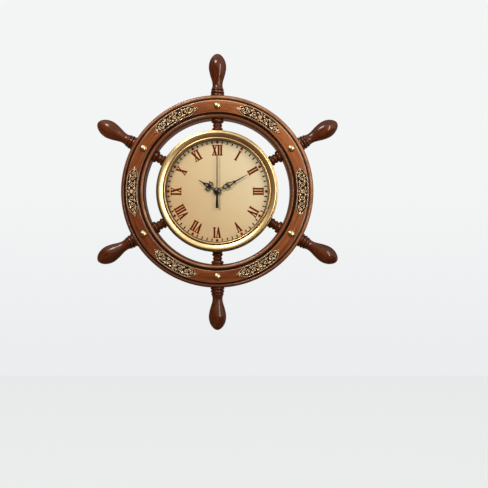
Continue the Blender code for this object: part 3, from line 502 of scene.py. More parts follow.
mahogany = {
    "dark": (0.098, 0.0180, 0.0038),
    "middle": (0.222, 0.0540, 0.0115),
    "light": (0.400, 0.1200, 0.0300),
    # groove darkness, for painted shade in grooves and crevices
    "groove": (0.0120, 0.0018, 0.0007),
    "pore": (0.060, 0.0130, 0.0040),
    # a pale tone for wear, also used as a painted highlight on edges that face up
    "wearHighlight": (0.740, 0.4100, 0.2200),
    # the tones by the strength of the figure
    "tones": ((0.34, "dark"), (0.50, "middle"), (0.68, "light")),
    "figureShare": 0.60,
    "streakShare": 0.40,
    "poreRange": (0.34, 0.42, 0.55, 0),
    "crevice": (0.0040, 0.34, 0.90),  # reach, and the shade's two ends
    "roughness": (0.29, 0.44),
    "bump": (0.022, 0.0003),  # strength and distance
    "varnish": {"Coat Weight": 0.52, "Coat Roughness": 0.10, "Coat IOR": 1.52,
                "Specular IOR Level": 0.12},
    # figure, streaks and pores as noise of (scale, detail, roughness): round the ring, with the
    # change from front to back, and along a piece
    "ringNoise": ((190, 3, 0.5, 60), (900, 5, 0.6, 300), (3600, 2, 0.5, 900)),
    "pieceNoise": ((120, 3, 0.5, None, 0.6), (620, 5, 0.6), (2300, 2, 0.5)),
    "ringStretch": 0.009,
    "upperRightLight": 0.055,  # painted light: how much lighter the ring's upper right is than its lower left
    "frontStart": (0.0200, 0.0215),
    # across the ring's front, by radius: the painted shade on the inner wall, beads and grooves,
    # and the edges with wear and a painted highlight
    "rings": ((0.1180, 0.30), (0.1194, 0.75), (0.1240, 0.70), (0.1252, 0.06), (0.1277, 0.06),
              (0.1280, 1.00), (0.1472, 1.00), (0.1475, 0.16), (0.1491, 0.16), (0.1494, 0.85),
              (0.1540, 0.90), (0.1550, 0.70)),
    "rubbedHighlight": ((0.1196, 0.0), (0.1205, 0.85), (0.1218, 0.85), (0.1230, 0.0), (0.1278, 0.0),
               (0.1282, 0.80), (0.1292, 0.0), (0.1453, 0.0), (0.1460, 0.90), (0.1470, 0.90),
               (0.1474, 0.0), (0.1498, 0.0), (0.1508, 0.75), (0.1524, 0.75), (0.1538, 0.0)),
    "beads": ((0.1180, 1), (0.1270, 1), (0.1280, 0), (0.1475, 0), (0.1485, 1), (0.1550, 1)),
    # how far an edge faces up, as shares of up and right, and the radii where inner edges end
    "lift": (0.85, 0.50),
    "innerEnd": (0.1360, 0.1390),
    # the painted highlight on edges that face up and the painted shade on beads that face down, as
    # ranges of how far they face up
    "upFacingHighlight": (-0.3, 0.8, 0.10, 1),
    "downFacingShade": (-0.85, 0.15, 0.50, 0),
    "patches": (34, 3, 0.6),
    "patchRange": (0.35, 0.60, 0.35, 1),
}


def ringWearAndLight(colour, coords, reach, aimX, aimY, depth):
    # wear with a painted highlight on what faces up: outer edges above the middle, inner edges
    # below it
    up, right = mahogany["lift"]
    lift = plus(times(aimY, up), times(aimX, right))
    facing = times(lift, addRange(reach, *mahogany["innerEnd"], -1, 1))
    rubbedHighlight = times(byRadius(reach, mahogany["rubbedHighlight"]), addRange(facing, *mahogany["upFacingHighlight"]))
    patchy = addRange(addNoise(coords, *mahogany["patches"]), *mahogany["patchRange"])
    front = addRange(depth, *mahogany["frontStart"], 0, 1)
    wearHighlight = times(times(front, rubbedHighlight), patchy)
    colour = blendColours(wearHighlight, colour, mahogany["wearHighlight"])
    # and painted shade darkens the beads where they turn down
    downFacingShade = times(byRadius(reach, mahogany["beads"]), addRange(facing, *mahogany["downFacingShade"]))
    unshaded = times(byRadius(reach, mahogany["rings"]), addRange(downFacingShade, 0, 1, 1, 0))
    shaded = blendColours(unshaded, mahogany["groove"], colour)
    return blendColours(front, colour, shaded)


def mahoganyFinish(name, grain, light=(1, 1, 1)):
    # grain is "ring" round the wheel, or the stretch of the figure along x, y and z
    material, tree, shader = startFinish(name)
    roundGrain = grain == "ring"
    if roundGrain:
        # the grain follows the ring: radius across, and two wide cosines along
        coords = objectCoords(tree)
        flat, reach = flatCoords(coords)
        aimX, aimY = axesOf(doVector("NORMALIZE", flat))[:2]
        depth = axesOf(coords)[2]
        along = addNode(tree, "CombineXYZ")
        wire(reach, along.inputs[0])
        wire(times(aimX, mahogany["ringStretch"]), along.inputs[1])
        wire(times(aimY, mahogany["ringStretch"]), along.inputs[2])
        figure, streaks, pores = [
            addNoise(along.outputs[0], *noise, times(depth, change))
            for *noise, change in mahogany["ringNoise"]]
    else:
        stretched = stretchedCoords(tree, grain)
        figure, streaks, pores = [addNoise(stretched, *noise) for noise in mahogany["pieceNoise"]]
    tone = plus(times(figure, mahogany["figureShare"]), times(streaks, mahogany["streakShare"]))
    # painted light: the ring is lighter towards its upper right
    if roundGrain:
        upperRightLight = mahogany["upperRightLight"]
        tone = plus(tone, plus(times(aimY, upperRightLight), times(aimX, upperRightLight)))
    colour = addRamp(tone, [
        (place, [channel * share for channel, share in zip(mahogany[shade], light)])
        for place, shade in mahogany["tones"]
    ])
    poreMask = addRange(pores, *mahogany["poreRange"])
    colour = blendColours(poreMask, colour, mahogany["pore"])
    # painted shade in crevices
    crevice = creviceShade(tree, *mahogany["crevice"])
    colour = blendColours(crevice, mahogany["groove"], colour)
    if roundGrain:
        colour = ringWearAndLight(colour, coords, reach, aimX, aimY, depth)
    fill(shader, mahogany["varnish"])
    strength, distance = mahogany["bump"]
    giveSkin(shader, colour, streaks, mahogany["roughness"], strength,
             doMath("SUBTRACT", streaks, poreMask), distance)
    return material


metalSkin = {
    # noise of (scale, detail, roughness)
    "turningLines": (420, 2, 0.5),
    "grit": (1500, 3, 0.6),
    "cloud": (70, 4, 0.6),
    "cloudRange": (0.35, 0.7),
    "cloudShade": 0.80,
    "crevice": (0.40, 0.95),
    "glossSpread": (-0.04, 0.07),
}
plainSkin = {
    "fine": (4, 0.6),
    "cloud": (55, 3, 0.5),
    "crevice": (0.0015, 0.30, 0.90),
    "creviceShade": 0.55,
    "coatRoughness": 0.12,
    "glossSpread": (-0.05, 0.08),
}


def metalFinish(name, colour, tarnishAndShade, roughness, reach=0.002, bump=0.06, brushed=None,
                metal=1.0, rings=None):
    # rings gives the tarnish by radius on a turned piece, with painted shade on the bezel; without
    # it, it gathers in crevices
    material, tree, shader = startFinish(name)
    vector = pieceCoords(tree)
    if rings:
        # fine lines that run round the wheel's axis
        radius = flatCoords(objectCoords(tree))[1]
        across = addNode(tree, "CombineXYZ")
        wire(radius, across.inputs[0])
        fine = addNoise(across.outputs[0], *metalSkin["turningLines"])
        bright = byRadius(radius, rings)
    else:
        lay = stretchedCoords(tree, brushed) if brushed else vector
        fine = addNoise(lay, *metalSkin["grit"])
        bright = creviceShade(tree, reach, *metalSkin["crevice"])
    cloud = addRange(addNoise(vector, *metalSkin["cloud"]), *metalSkin["cloudRange"], 0, 1)
    deeper = [channel * metalSkin["cloudShade"] for channel in colour]
    mixed = blendColours(cloud, deeper, colour)
    mixed = blendColours(bright, tarnishAndShade, mixed)
    fill(shader, {"Metallic": metal})
    giveSkin(shader, mixed, fine, [roughness + change for change in metalSkin["glossSpread"]], bump)
    return material


def plainFinish(name, colour, roughness, speckle=0.12, grain=900, bump=0.08, coat=0.0, metal=0.0,
                gloss=0.5):
    # a moulded, painted or enamelled surface with a fine uneven skin
    material, tree, shader = startFinish(name)
    vector = pieceCoords(tree)
    fine = addNoise(vector, grain, *plainSkin["fine"])
    cloud = addRange(addNoise(vector, *plainSkin["cloud"]), *usualNoise, 0, 1)
    deeper = [channel * (1 - speckle) for channel in colour]
    brighter = [min(channel * (1 + speckle), 1) for channel in colour]
    mixed = blendColours(cloud, deeper, brighter)
    dimmed = [channel * plainSkin["creviceShade"] for channel in colour]
    crevice = creviceShade(tree, *plainSkin["crevice"])
    mixed = blendColours(crevice, dimmed, mixed)
    fill(shader, {"Metallic": metal, "Specular IOR Level": gloss, "Coat Weight": coat,
                  "Coat Roughness": plainSkin["coatRoughness"]})
    giveSkin(shader, mixed, fine, [roughness + change for change in plainSkin["glossSpread"]], bump)
    return material


glassSkin = {
    "body": {"Transmission Weight": 1.0, "IOR": 1.25, "Base Color": (0.985, 0.995, 0.990, 1)},
    "smears": (38, 4, 0.6),
    "smearRange": (0.4, 0.75, 0.0, 0.008),
}


def glassFinish(name):
    # clear glass; lamps shine through it onto the dial
    material, tree, shader = startFinish(name)
    fill(shader, glassSkin["body"])
    smears = addNoise(pieceCoords(tree), *glassSkin["smears"])
    wire(addRange(smears, *glassSkin["smearRange"]), shader.inputs["Roughness"])
    rays = addNode(tree, "LightPath").outputs
    through = doMath("MAXIMUM", rays["Is Shadow Ray"], rays["Is Diffuse Ray"])
    through = doMath("MAXIMUM", through, rays["Is Glossy Ray"])
    clear = addNode(tree, "BsdfTransparent").outputs[0]
    wire(blendShaders(through, shader.outputs[0], clear),
         tree.nodes["Material Output"].inputs["Surface"])
    return material


dialSkin = {
    # painted light: from the darker lower left to the paler upper right
    "shades": ((0.0, (0.620, 0.410, 0.205)), (0.5, (0.720, 0.530, 0.285)),
               (1.0, (0.800, 0.650, 0.400))),
    "reach": 0.09,
    "upShare": 0.8,
    "cloud": (26, 4, 0.6),
    "cloudiness": 0.35,
    "speckNoise": (1400, 3, 0.6),
    "speckRange": (0.35, 0.65, 0.0, 0.10),
    "speck": (0.53, 0.38, 0.21),
    "gloss": 0.35,
    "roughness": (0.46, 0.58),
    "bump": 0.05,
}


def dialFinish(name):
    # khaki-gold enamel with a faint satin figure, and painted light that leaves it a little deeper
    # towards the lower left
    material, tree, shader = startFinish(name)
    coords = objectCoords(tree)
    x, y = axesOf(coords)[:2]
    # painted light across the face, paler towards the upper right
    slant = plus(x, times(y, dialSkin["upShare"]))
    slantLight = addRange(slant, -dialSkin["reach"], dialSkin["reach"], 0, 1)
    cloud = doMath("SUBTRACT", addNoise(coords, *dialSkin["cloud"]), 0.5)
    speck = addNoise(coords, *dialSkin["speckNoise"])
    toned = plus(slantLight, times(cloud, dialSkin["cloudiness"]))
    colour = addRamp(toned, dialSkin["shades"])
    specked = addRange(speck, *dialSkin["speckRange"])
    fill(shader, {"Specular IOR Level": dialSkin["gloss"]})
    giveSkin(shader, blendColours(specked, colour, dialSkin["speck"]), speck,
             dialSkin["roughness"], dialSkin["bump"])
    return material


ringMahogany = mahoganyFinish("ringMahogany", "ring")
turnedMahogany = mahoganyFinish("turnedMahogany", (1, 1, 0.075), (0.37, 0.265, 0.18))
caseMahogany = mahoganyFinish("caseMahogany", (0.6, 0.06, 0.6), (0.75, 0.72, 0.70))
# the bezel's tarnish in its hollows, and painted shade on its lip and outer skirt, by radius
bezelTarnishAndShade = ((0.0826, 0.35), (0.0831, 0.60), (0.0852, 0.60), (0.0857, 0.20), (0.0865, 0.10),
                (0.0871, 0.75), (0.0878, 1.0), (0.0945, 1.0), (0.0952, 0.30), (0.0964, 0.38),
                (0.0976, 0.45))
lacqueredBrass = metalFinish("lacqueredBrass", (0.92, 0.715, 0.380), (0.20, 0.095, 0.025), 0.32,
                             bump=0.0015, rings=bezelTarnishAndShade)
studBrass = metalFinish("studBrass", (0.80, 0.60, 0.32), (0.10, 0.045, 0.015), 0.26, 0.0015, 0.03)
darkBrass = metalFinish("darkBrass", (0.26, 0.15, 0.06), (0.05, 0.02, 0.01), 0.40, 0.002)
giltRelief = metalFinish("giltRelief", (1.0, 0.75, 0.47), (0.16, 0.055, 0.014), 0.28, 0.0006,
                         0.06, metal=0.62)
agedBrass = metalFinish("agedBrass", (0.30, 0.20, 0.10), (0.08, 0.05, 0.02), 0.42, 0.001)
darkGround = plainFinish("darkGround", (0.022, 0.0050, 0.0012), 0.75, 0.3, 1200, 0.2, gloss=0.04)
dialEnamel = dialFinish("dialEnamel")
redBrownPrint = plainFinish("redBrownPrint", (0.062, 0.0085, 0.0015), 0.6, 0.12, gloss=0.10)
brownPrint = plainFinish("brownPrint", (0.022, 0.007, 0.002), 0.5, 0.12, gloss=0.10)
salmonPrint = plainFinish("salmonPrint", (0.680, 0.240, 0.080), 0.6, 0.08, gloss=0.15)
blackJapan = plainFinish("blackJapan", (0.0075, 0.0045, 0.0025), 0.36, 0.2, 900, 0.04, gloss=0.30)
capJapan = plainFinish("capJapan", (0.006, 0.009, 0.013), 0.22, 0.2, 900, 0.03, 0.6)
redBrownPaint = plainFinish("redBrownPaint", (0.170, 0.085, 0.045), 0.42, 0.12, gloss=0.3)
clockGlass = glassFinish("clockGlass")
blackMoulding = plainFinish("blackMoulding", (0.026, 0.026, 0.028), 0.42, 0.15, 1600, 0.25)
greyMoulding = plainFinish("greyMoulding", (0.080, 0.080, 0.084), 0.40, 0.15, 1600, 0.2)
whiteAcetal = plainFinish("whiteAcetal", (0.74, 0.73, 0.69), 0.42, 0.05, 1600, 0.12)
zincSteel = metalFinish("zincSteel", (0.60, 0.61, 0.62), (0.20, 0.19, 0.17), 0.32, 0.0012, 0.08)
magnetFerrite = plainFinish("magnetFerrite", (0.055, 0.055, 0.060), 0.45, 0.2, 1800, 0.2, 0, 0.4)
copperWinding = metalFinish("copperWinding", (0.66, 0.25, 0.11), (0.16, 0.05, 0.02), 0.33, 0.001,
                            0.5, (0.02, 0.02, 1))
greenBoard = plainFinish("greenBoard", (0.028, 0.170, 0.065), 0.42, 0.2, 1300, 0.15, 0.3)
cellJacket = plainFinish("cellJacket", (0.045, 0.065, 0.150), 0.30, 0.12, 1100, 0.05, 0.5)
print("finishes made:", len(bpy.data.materials))


# ---- the wheel's rim

rim = {
    "sides": 192,
    "outerBead": (0.1493, 0.1550),
    "innerBead": (0.1180, 0.1252),
    "beadCrest": 0.0279,
    "beadSteps": 18,
    "grooveFloor": 0.0245,
    # how far below the groove's floor other parts of the section start
    "footDrop": 0.0004,
    "channelDrop": 0.0002,
    "innerDrop": 0.0032,
    "outerDrop": 0.0030,
    # the fillet beside the inner bead: out from the bead, up from the floor, and rounding
    "fillet": ((0, -0.0004, 0), (0.0003, -0.0006, 0.0003), (0.0007, 0.0010, 0.0004),
               (0.0012, 0.0010, 0.0004), (0.0016, -0.0004, 0.0003)),
    "channelRounding": 0.0003,
    "bandRounding": 0.0006,
    "backRounding": 0.0012,
    "hangerSeat": (0.0406, 0.0216, 0.0024),
    "hangerPocket": (0.0120, 0.0186, 0.0085),
    "hangerDrop": 0.00535,  # from the screw down to the middle of the hanger's seat
}


def rimSection():
    inner, outer = rim["innerBead"], rim["outerBead"]
    floor, band = rim["grooveFloor"], wheel["bandHeight"]
    bandInner, bandOuter = wheel["bandInnerR"], wheel["bandOuterR"]
    channel, innerFoot = floor - rim["channelDrop"], floor - rim["innerDrop"]
    section = [(inner[0], innerFoot)]
    section += arcRun(*inner, floor - rim["footDrop"], rim["beadCrest"], rim["beadSteps"])
    section += easedCorners([
        *[(inner[1] + out, floor + up, rounding) for out, up, rounding in rim["fillet"]],
        (bandInner, channel, rim["channelRounding"]),
        (bandInner, band, rim["bandRounding"]),
        (bandOuter, band, rim["bandRounding"]),
        (bandOuter, channel, rim["channelRounding"]),
        (outer[0], channel, 0),
    ])[1:]
    section += arcRun(*outer, floor, rim["beadCrest"], rim["beadSteps"])[1:]
    back = easedCorners([
        (outer[1], floor - rim["outerDrop"], 0),
        (outer[1], 0, rim["backRounding"]),
        (inner[0], 0, rim["backRounding"]),
        (inner[0], innerFoot, 0),
    ])
    return section + back[:-1]


def makeRim():
    mesh = turnedMesh("rimRing", rimSection(), rim["sides"], closed=True, crease=50)
    middle = Matrix.Translation((0, wheel["hookRise"] - rim["hangerDrop"], 0))
    cutters = [(boxMesh("hangerCut", (wide, tall, 2 * deep)), middle)
               for wide, tall, deep in (rim["hangerSeat"], rim["hangerPocket"])]
    addPiece("rimRing", carve(mesh, cutters, crease=50), [ringMahogany], "rim")


makeRim()
print("rim made")


# ---- turned handles and spokes

handle = {
    "length": 0.070,
    "gripR": 0.0142,
    "sides": 72,
    "steps": 4,
    "seatR": 0.1546,
    # shares of the length and of the grip's radius, from the rim to the tip
    "collars": ((0.000, 0.74), (0.006, 0.785), (0.028, 0.800), (0.048, 0.780), (0.055, 0.720),
                (0.062, 0.665), (0.070, 0.700), (0.078, 0.755), (0.100, 0.775), (0.120, 0.750),
                (0.130, 0.690), (0.140, 0.650), (0.148, 0.680), (0.158, 0.725), (0.170, 0.720),
                (0.182, 0.680)),
    "grip": ((0.210, 0.620), (0.245, 0.585), (0.285, 0.578), (0.335, 0.610), (0.390, 0.675),
             (0.455, 0.775), (0.525, 0.875), (0.600, 0.955), (0.670, 1.000), (0.740, 0.985),
             (0.800, 0.925), (0.860, 0.815), (0.912, 0.660), (0.952, 0.490), (0.980, 0.310),
             (0.995, 0.140), (1.000, 0.000)),
}
spoke = {
    "collarR": 0.0100,
    "sides": 64,
    "steps": 4,
    "innerEnd": 0.0950,
    "outerEnd": 0.1182,
    # shares of the length and of the collar's radius, from the case to the rim
    "beads": ((0.000, 0.84), (0.120, 0.84), (0.165, 0.80), (0.195, 0.74), (0.225, 0.80),
              (0.270, 0.87), (0.315, 0.88), (0.360, 0.82), (0.400, 0.72), (0.440, 0.66),
              (0.480, 0.68), (0.530, 0.76), (0.570, 0.78), (0.610, 0.75), (0.650, 0.68),
              (0.690, 0.66), (0.725, 0.76), (0.760, 0.92), (0.800, 0.99), (0.850, 1.01),
              (0.900, 0.99), (0.935, 0.93), (0.965, 0.90), (1.000, 0.90)),
}
dowel = {"radius": 0.0040, "length": 0.0095}


def makeHandles():
    length, grip = handle["length"], handle["gripR"]
    shares = smoothPath(handle["collars"] + handle["grip"], handle["steps"])
    profile = pegEnd(dowel["radius"], 0, -dowel["length"])[::-1]
    profile += [(max(out, 0) * grip, along * length) for along, out in shares]
    mesh = turnedMesh("turnedHandle", profile, handle["sides"])
    addAround("turnedHandle", mesh, [turnedMahogany], "handle",
              lambda angle: armFrame(handle["seatR"], angle))


def makeSpokes():
    length = spoke["outerEnd"] - spoke["innerEnd"]
    profile = pegEnd(dowel["radius"], 0, -dowel["length"])[::-1]
    profile += [(out * spoke["collarR"], along * length)
                for along, out in smoothPath(spoke["beads"], spoke["steps"])]
    profile += pegEnd(dowel["radius"], length, dowel["length"])
    mesh = turnedMesh("turnedSpoke", profile, spoke["sides"])
    addAround("turnedSpoke", mesh, [turnedMahogany], "spoke",
              lambda angle: armFrame(spoke["innerEnd"], angle))


makeHandles()
makeSpokes()
print("handles and spokes made")


# ---- brass studs

stud = {
    "radius": 0.0056,
    "rise": 0.0035,
    "sides": 48,
    "domeSteps": 12,
    "shankR": 0.0015,
    "shankLength": 0.0075,
    # the brim: shares of the radius, and heights
    "brim": ((0.97, 0), (1, 0.0002), (0.99, 0.0005), (0.93, 0.0007)),
}


def makeStuds():
    radius = stud["radius"]
    share, foot = stud["brim"][-1]
    profile = pegEnd(stud["shankR"], 0, -stud["shankLength"])[::-1]
    profile += [(radius * out, height) for out, height in stud["brim"]]
    profile += dome(radius * share, foot, stud["rise"] - foot, stud["domeSteps"])
    mesh = turnedMesh("domeStud", profile, stud["sides"])
    addAround("domeStud", mesh, [studBrass], "stud",
              lambda angle: Matrix.Translation((*clockPlace(wheel["bandMiddleR"], angle),
                                                fittingHeight)))


makeStuds()
print("studs made")


# ---- gilt scroll plates

scroll = {
    "halfLength": 0.0420,
    "halfWidth": 0.0088,
    "shoulder": 0.0262,
    "edgeSteps": 12,
    "ground": 0.0004,
    "relief": 0.0013,
    "border": 0.00040,
    # the row of beads inside the border
    "beadInset": 0.00135,
    "beadPitch": 0.00150,
    "beadR": 0.00040,
    # half the width of leaves by where they spring from
    "spiralLeafHalf": 0.00050,
    "sprayLeafHalf": 0.00060,
    "tipLeafHalf": 0.00070,
    "middleLeafHalf": 0.0005,
    # a leaf's rise at its ends and in its middle, as shares of the relief
    "leafRise": (0.55, 0.45),
    "leafSteps": 8,
    # corner sprays of one half: place along the plate, and leaf length; each has leaves of
    # (turn from the edge's direction, share of that length)
    "sprays": ((0.0052, 0.0042), (0.0152, 0.0044), (0.0252, 0.0044)),
    "sprayRoot": 0.0030,
    "sprayLeaves": ((-0.85, 0.85), (0.0, 1), (0.85, 0.85)),
    # spirals of one half: centre along and across, radius, turning sense
    "spirals": ((0.0102, -0.0004, 0.0053, 1), (0.0205, 0.0004, 0.0050, -1),
                (0.0293, 0.0000, 0.0038, 1)),
    "spiralTurns": 1.45,
    "spiralSteps": 34,
    "spiralHalf": 0.00058,
    # leaves on a spiral: turn from its start, and shares of its radius to the root and long
    "spiralLeaves": ((1.7, 0.60, 0.40), (4.1, 0.60, 0.40)),
    # leaves at the tip: turn from the plate's length, and leaf length
    "tipX": 0.0336,
    "tipBossR": 0.00085,
    "tipLeaves": ((0.0, 0.0060), (0.62, 0.0040), (-0.62, 0.0040)),
    # petals of the middle rosette: root radius, length, half width, and shift in petals
    "petals": 8,
    "petalTurn": 0.2,
    "middleBossR": 0.0012,
    "rosette": ((0.0009, 0.0027, 0.00062, 0), (0.0028, 0.0016, 0.00045, 0.5)),
    # the middle sprays: root's distance from the middle, length and turns of the leaves
    "middleRoot": 0.0046,
    "middleLength": 0.0030,
    "middleTurns": (-0.8, 0, 0.8),
}
reliefFoot = scroll["ground"] - 0.0001  # the ornament starts a little inside the ground


def bentToRim(x, y):
    # x is length along the band's middle line, y is across it
    middle = wheel["bandMiddleR"]
    return clockPlace(middle + y, x / middle)


def leaf(x, y, aim, length, width, bend=0.0):
    # a pointed leaf from its root, swelling and then tapering, with a slight bend
    path = []
    atEnds, inMiddle = scroll["leafRise"]
    for step in range(scroll["leafSteps"] + 1):
        t = step / scroll["leafSteps"]
        alongX, alongY = polar(length * t, aim + bend * (t - 0.3))
        half = width * (sin(pi * min(t * 1.02 + 0.06, 1)) ** 0.8) + leastHalf
        rise = scroll["relief"] * (atEnds + inMiddle * sin(pi * t))
        path.append((x + alongX, y + alongY, half, rise))
    return ridge(path, reliefFoot)


def spiralStroke(x, y, radius, sense, start):
    path = []
    for step in range(scroll["spiralSteps"] + 1):
        t = step / scroll["spiralSteps"]
        outX, outY = polar(radius * (1 - 0.80 * t ** 0.85),
                           start + sense * tau * scroll["spiralTurns"] * t)
        half = scroll["spiralHalf"] * (0.75 + 0.25 * sin(pi * t)) * (1 - 0.25 * t)
        path.append((x + outX, y + outY, half, scroll["relief"] * (0.75 + 0.25 * t)))
    return ridge(path, reliefFoot)


def boss(x, y, radius, rise):
    profile = [(0, 0), (radius, 0)] + dome(radius, 0, rise, 5)
    return moved(turned(profile, 14), Matrix.Translation((x, y, reliefFoot)))


def plateOutline(inset):
    # the plate's edge: two long sides and four short ones that meet at the tips
    length = scroll["halfLength"] - inset * 2.1
    width = scroll["halfWidth"] - inset
    shoulder, steps = scroll["shoulder"], scroll["edgeSteps"]
    top = [(shoulder - 2 * shoulder * step / steps, width) for step in range(steps + 1)]
    bottom = [(-x, -y) for x, y in top]
    return [(length, 0)] + top + [(-length, 0)] + bottom


def beading():
    parts = []
    corners = plateOutline(scroll["beadInset"])
    for index, corner in enumerate(corners):
        here, after = Vector(corner), Vector(corners[(index + 1) % len(corners)])
        count = max(1, round((after - here).length / scroll["beadPitch"]))
        for step in range(count):
            x, y = here.lerp(after, step / count)
            parts.append(boss(x, y, scroll["beadR"], scroll["relief"] * 0.5))
    return parts


def scrollHalf(side):
    parts = []
    for x, y, radius, sense in scroll["spirals"]:
        x, sense = side * x, side * sense
        start = pi / 2 - side * pi / 2 + pi + sense * 0.25
        parts.append(spiralStroke(x, y, radius, sense, start))
        parts.append(boss(x, y, radius * 0.17 + 0.0003, scroll["relief"] + 0.0002))
        for turn, root, length in scroll["spiralLeaves"]:
            aim = start + sense * turn
            outX, outY = polar(radius * root, aim)
            parts.append(leaf(x + outX, y + outY, aim + sense * 0.9, radius * length,
                              scroll["spiralLeafHalf"], 0.8 * sense))
    # sprays that fill the corners between neighbouring spirals, towards both edges
    for x, reach in scroll["sprays"]:
        for edge in (-1, 1):
            for spread, share in scroll["sprayLeaves"]:
                parts.append(leaf(side * x, edge * scroll["sprayRoot"],
                                  pi / 2 * edge + spread, reach * share,
                                  scroll["sprayLeafHalf"], 0.5 * spread))
    # the leaf that runs out into the tip, and two beside it
    tip = side * scroll["tipX"]
    for spread, length in scroll["tipLeaves"]:
        aim = spread if side > 0 else pi - spread
        parts.append(leaf(tip, 0, aim, length, scroll["tipLeafHalf"], 0.3))
    parts.append(boss(tip, 0, scroll["tipBossR"], scroll["relief"] + 0.0002))
    return parts


def plateRelief():
    border = [(x, y, scroll["border"], scroll["relief"]) for x, y in plateOutline(scroll["border"])]
    relief = [ridge(border, reliefFoot, closed=True), *beading(), *scrollHalf(-1), *scrollHalf(1)]
    for out, length, half, shift in scroll["rosette"]:
        for petal in range(scroll["petals"]):
            aim = tau * (petal + shift) / scroll["petals"] + scroll["petalTurn"]
            relief.append(leaf(*polar(out, aim), aim, length, half))
    relief.append(boss(0, 0, scroll["middleBossR"], scroll["relief"] + 0.0004))
    # sprays above and below the rosette
    for edge in (-1, 1):
        for turn in scroll["middleTurns"]:
            relief.append(leaf(0, edge * scroll["middleRoot"], edge * pi / 2 + turn,
                               scroll["middleLength"], scroll["middleLeafHalf"], 0.3))
    points, faces = joined(relief)
    return [(*bentToRim(x, y), z) for x, y, z in points], faces


def makeScrollPlates():
    edge = [bentToRim(x, y) for x, y in plateOutline(0)]
    whole = bmesh.new()
    whole.from_mesh(sheetMesh("plateGround", [edge], scroll["ground"]))
    bmesh.ops.translate(whole, verts=whole.verts, vec=(0, 0, scroll["ground"] / 2))
    groundFaces = len(whole.faces)
    whole.from_mesh(meshFrom("plateRelief", *plateRelief(), crease=60))
    for index, face in enumerate(whole.faces):
        face.material_index = 0 if index < groundFaces else 1
    mesh = bpy.data.meshes.new("scrollPlate")
    whole.to_mesh(mesh)
    whole.free()
    addAround("scrollPlate", smoothed(mesh, 60), [darkGround, giltRelief], "scroll_plate",
              lambda angle: raised(fittingHeight) @ Matrix.Rotation(-angle, 4, "Z"), lead=0.5)


makeScrollPlates()
print("scroll plates made")


# ---- case, bezel, spacer and glass

case = {
    "radius": 0.0951,
    "height": 0.0293,
    "seatR": 0.0860,
    "seatHeight": 0.0230,
    "sides": 160,
    "recess": (0.0570, 0.0570, 0.0170),
    "bushHoleR": 0.0041,
    "bushCut": (-0.001, 0.031),  # where the cut for the bush starts, and its length
}
bezel = {
    "sides": 240,
    "lipR": 0.0826,
    "seatR": 0.0855,
    "stepR": 0.0864,
    "bandInnerR": 0.0870,
    "bandOuterR": 0.0954,
    "bandLean": 0.5,
    "outerR": 0.0976,
    "glassFront": 0.0355,
    # heights in front of or behind the glass's front
    "lipFoot": 0.0005,
    "lipCrest": 0.0016,
    "stepDrop": 0.0004,
    "bandFoot": 0.0003,
    "bandCrest": 0.0023,
    "bandDrop": 0.0012,
    "filletDrop": 0.0018,
    "shoulderDrop": 0.0022,
    "lipSteps": 10,
    "bandSteps": 30,
    "skirtBack": 0.0243,
    "gap": 0.0003,  # between the bezel and the case
}
glass = {"radius": 0.0852, "height": 0.0334, "thickness": 0.0018, "rounding": 0.0003, "sides": 128}
spacer = {"back": 0.0246, "gap": 0.0003}


def makeCase():
    radius, height = case["radius"], case["height"]
    section = easedCorners([
        (0, case["seatHeight"], 0),
        (case["seatR"], case["seatHeight"], 0),
        (case["seatR"], height, 0.0004),
        (radius, height, 0.0008),
        (radius, 0, 0.0014),
        (0, 0, 0),
    ])
    wide, tall, deep = case["recess"]
    start, reach = case["bushCut"]
    bush = [(0, start), *pegEnd(case["bushHoleR"], start, reach)]
    cutters = [(boxMesh("recess", (wide, tall, 2 * deep)), Matrix()),
               (turnedMesh("bushHole", bush, 40), Matrix())]
    mesh = carve(turnedMesh("caseDrum", section, case["sides"]), cutters)
    addPiece("caseDrum", mesh, [caseMahogany], "case_body")


def makeBezel():
    front, lip, seat, step = (bezel[key] for key in ("glassFront", "lipR", "seatR", "stepR"))
    inner, band, outer = bezel["bandInnerR"], bezel["bandOuterR"], bezel["outerR"]
    skirt, caseR = bezel["skirtBack"], case["radius"] + bezel["gap"]
    caseFront = case["height"] + bezel["gap"]
    lipFoot, bandFoot = front + bezel["lipFoot"], front + bezel["bandFoot"]
    section = [(lip, front), (lip, lipFoot)]
    section += arcRun(lip, seat + 0.0002, lipFoot, front + bezel["lipCrest"], bezel["lipSteps"])[1:]
    section += easedCorners([
        (seat + 0.0002, front + 0.0002, 0),
        (seat + 0.0004, front - bezel["stepDrop"], 0.0002),
        (step, front - bezel["stepDrop"], 0.0002),
        (step + 0.0002, front + 0.0001, 0.0002),
        (inner, bandFoot, 0),
    ])
    section += arcRun(inner, band, bandFoot, front + bezel["bandCrest"], bezel["bandSteps"],
                      bezel["bandLean"])[1:]
    section += easedCorners([
        (band, front - bezel["bandDrop"], 0),
        (band + 0.0003, front - bezel["filletDrop"], 0.0003),
        (outer, front - bezel["shoulderDrop"], 0.0011),
        (outer, skirt, 0.0004),
        (caseR, skirt, 0.0002),
        (caseR, caseFront, 0),
        (seat, caseFront, 0),
        (seat, front, 0),
    ])
    mesh = turnedMesh("brassBezel", section, bezel["sides"], closed=True, crease=45)
    addPiece("brassBezel", mesh, [lacqueredBrass], "bezel")


def makeGlass():
    radius, thick, rounding = glass["radius"], glass["thickness"], glass["rounding"]
    section = easedCorners([(0, thick, 0), (radius, thick, rounding), (radius, 0, rounding),
                            (0, 0, 0)])
    mesh = turnedMesh("glassDisc", section, glass["sides"])
    addPiece("glassDisc", mesh, [clockGlass], "glass", raised(glass["height"]))


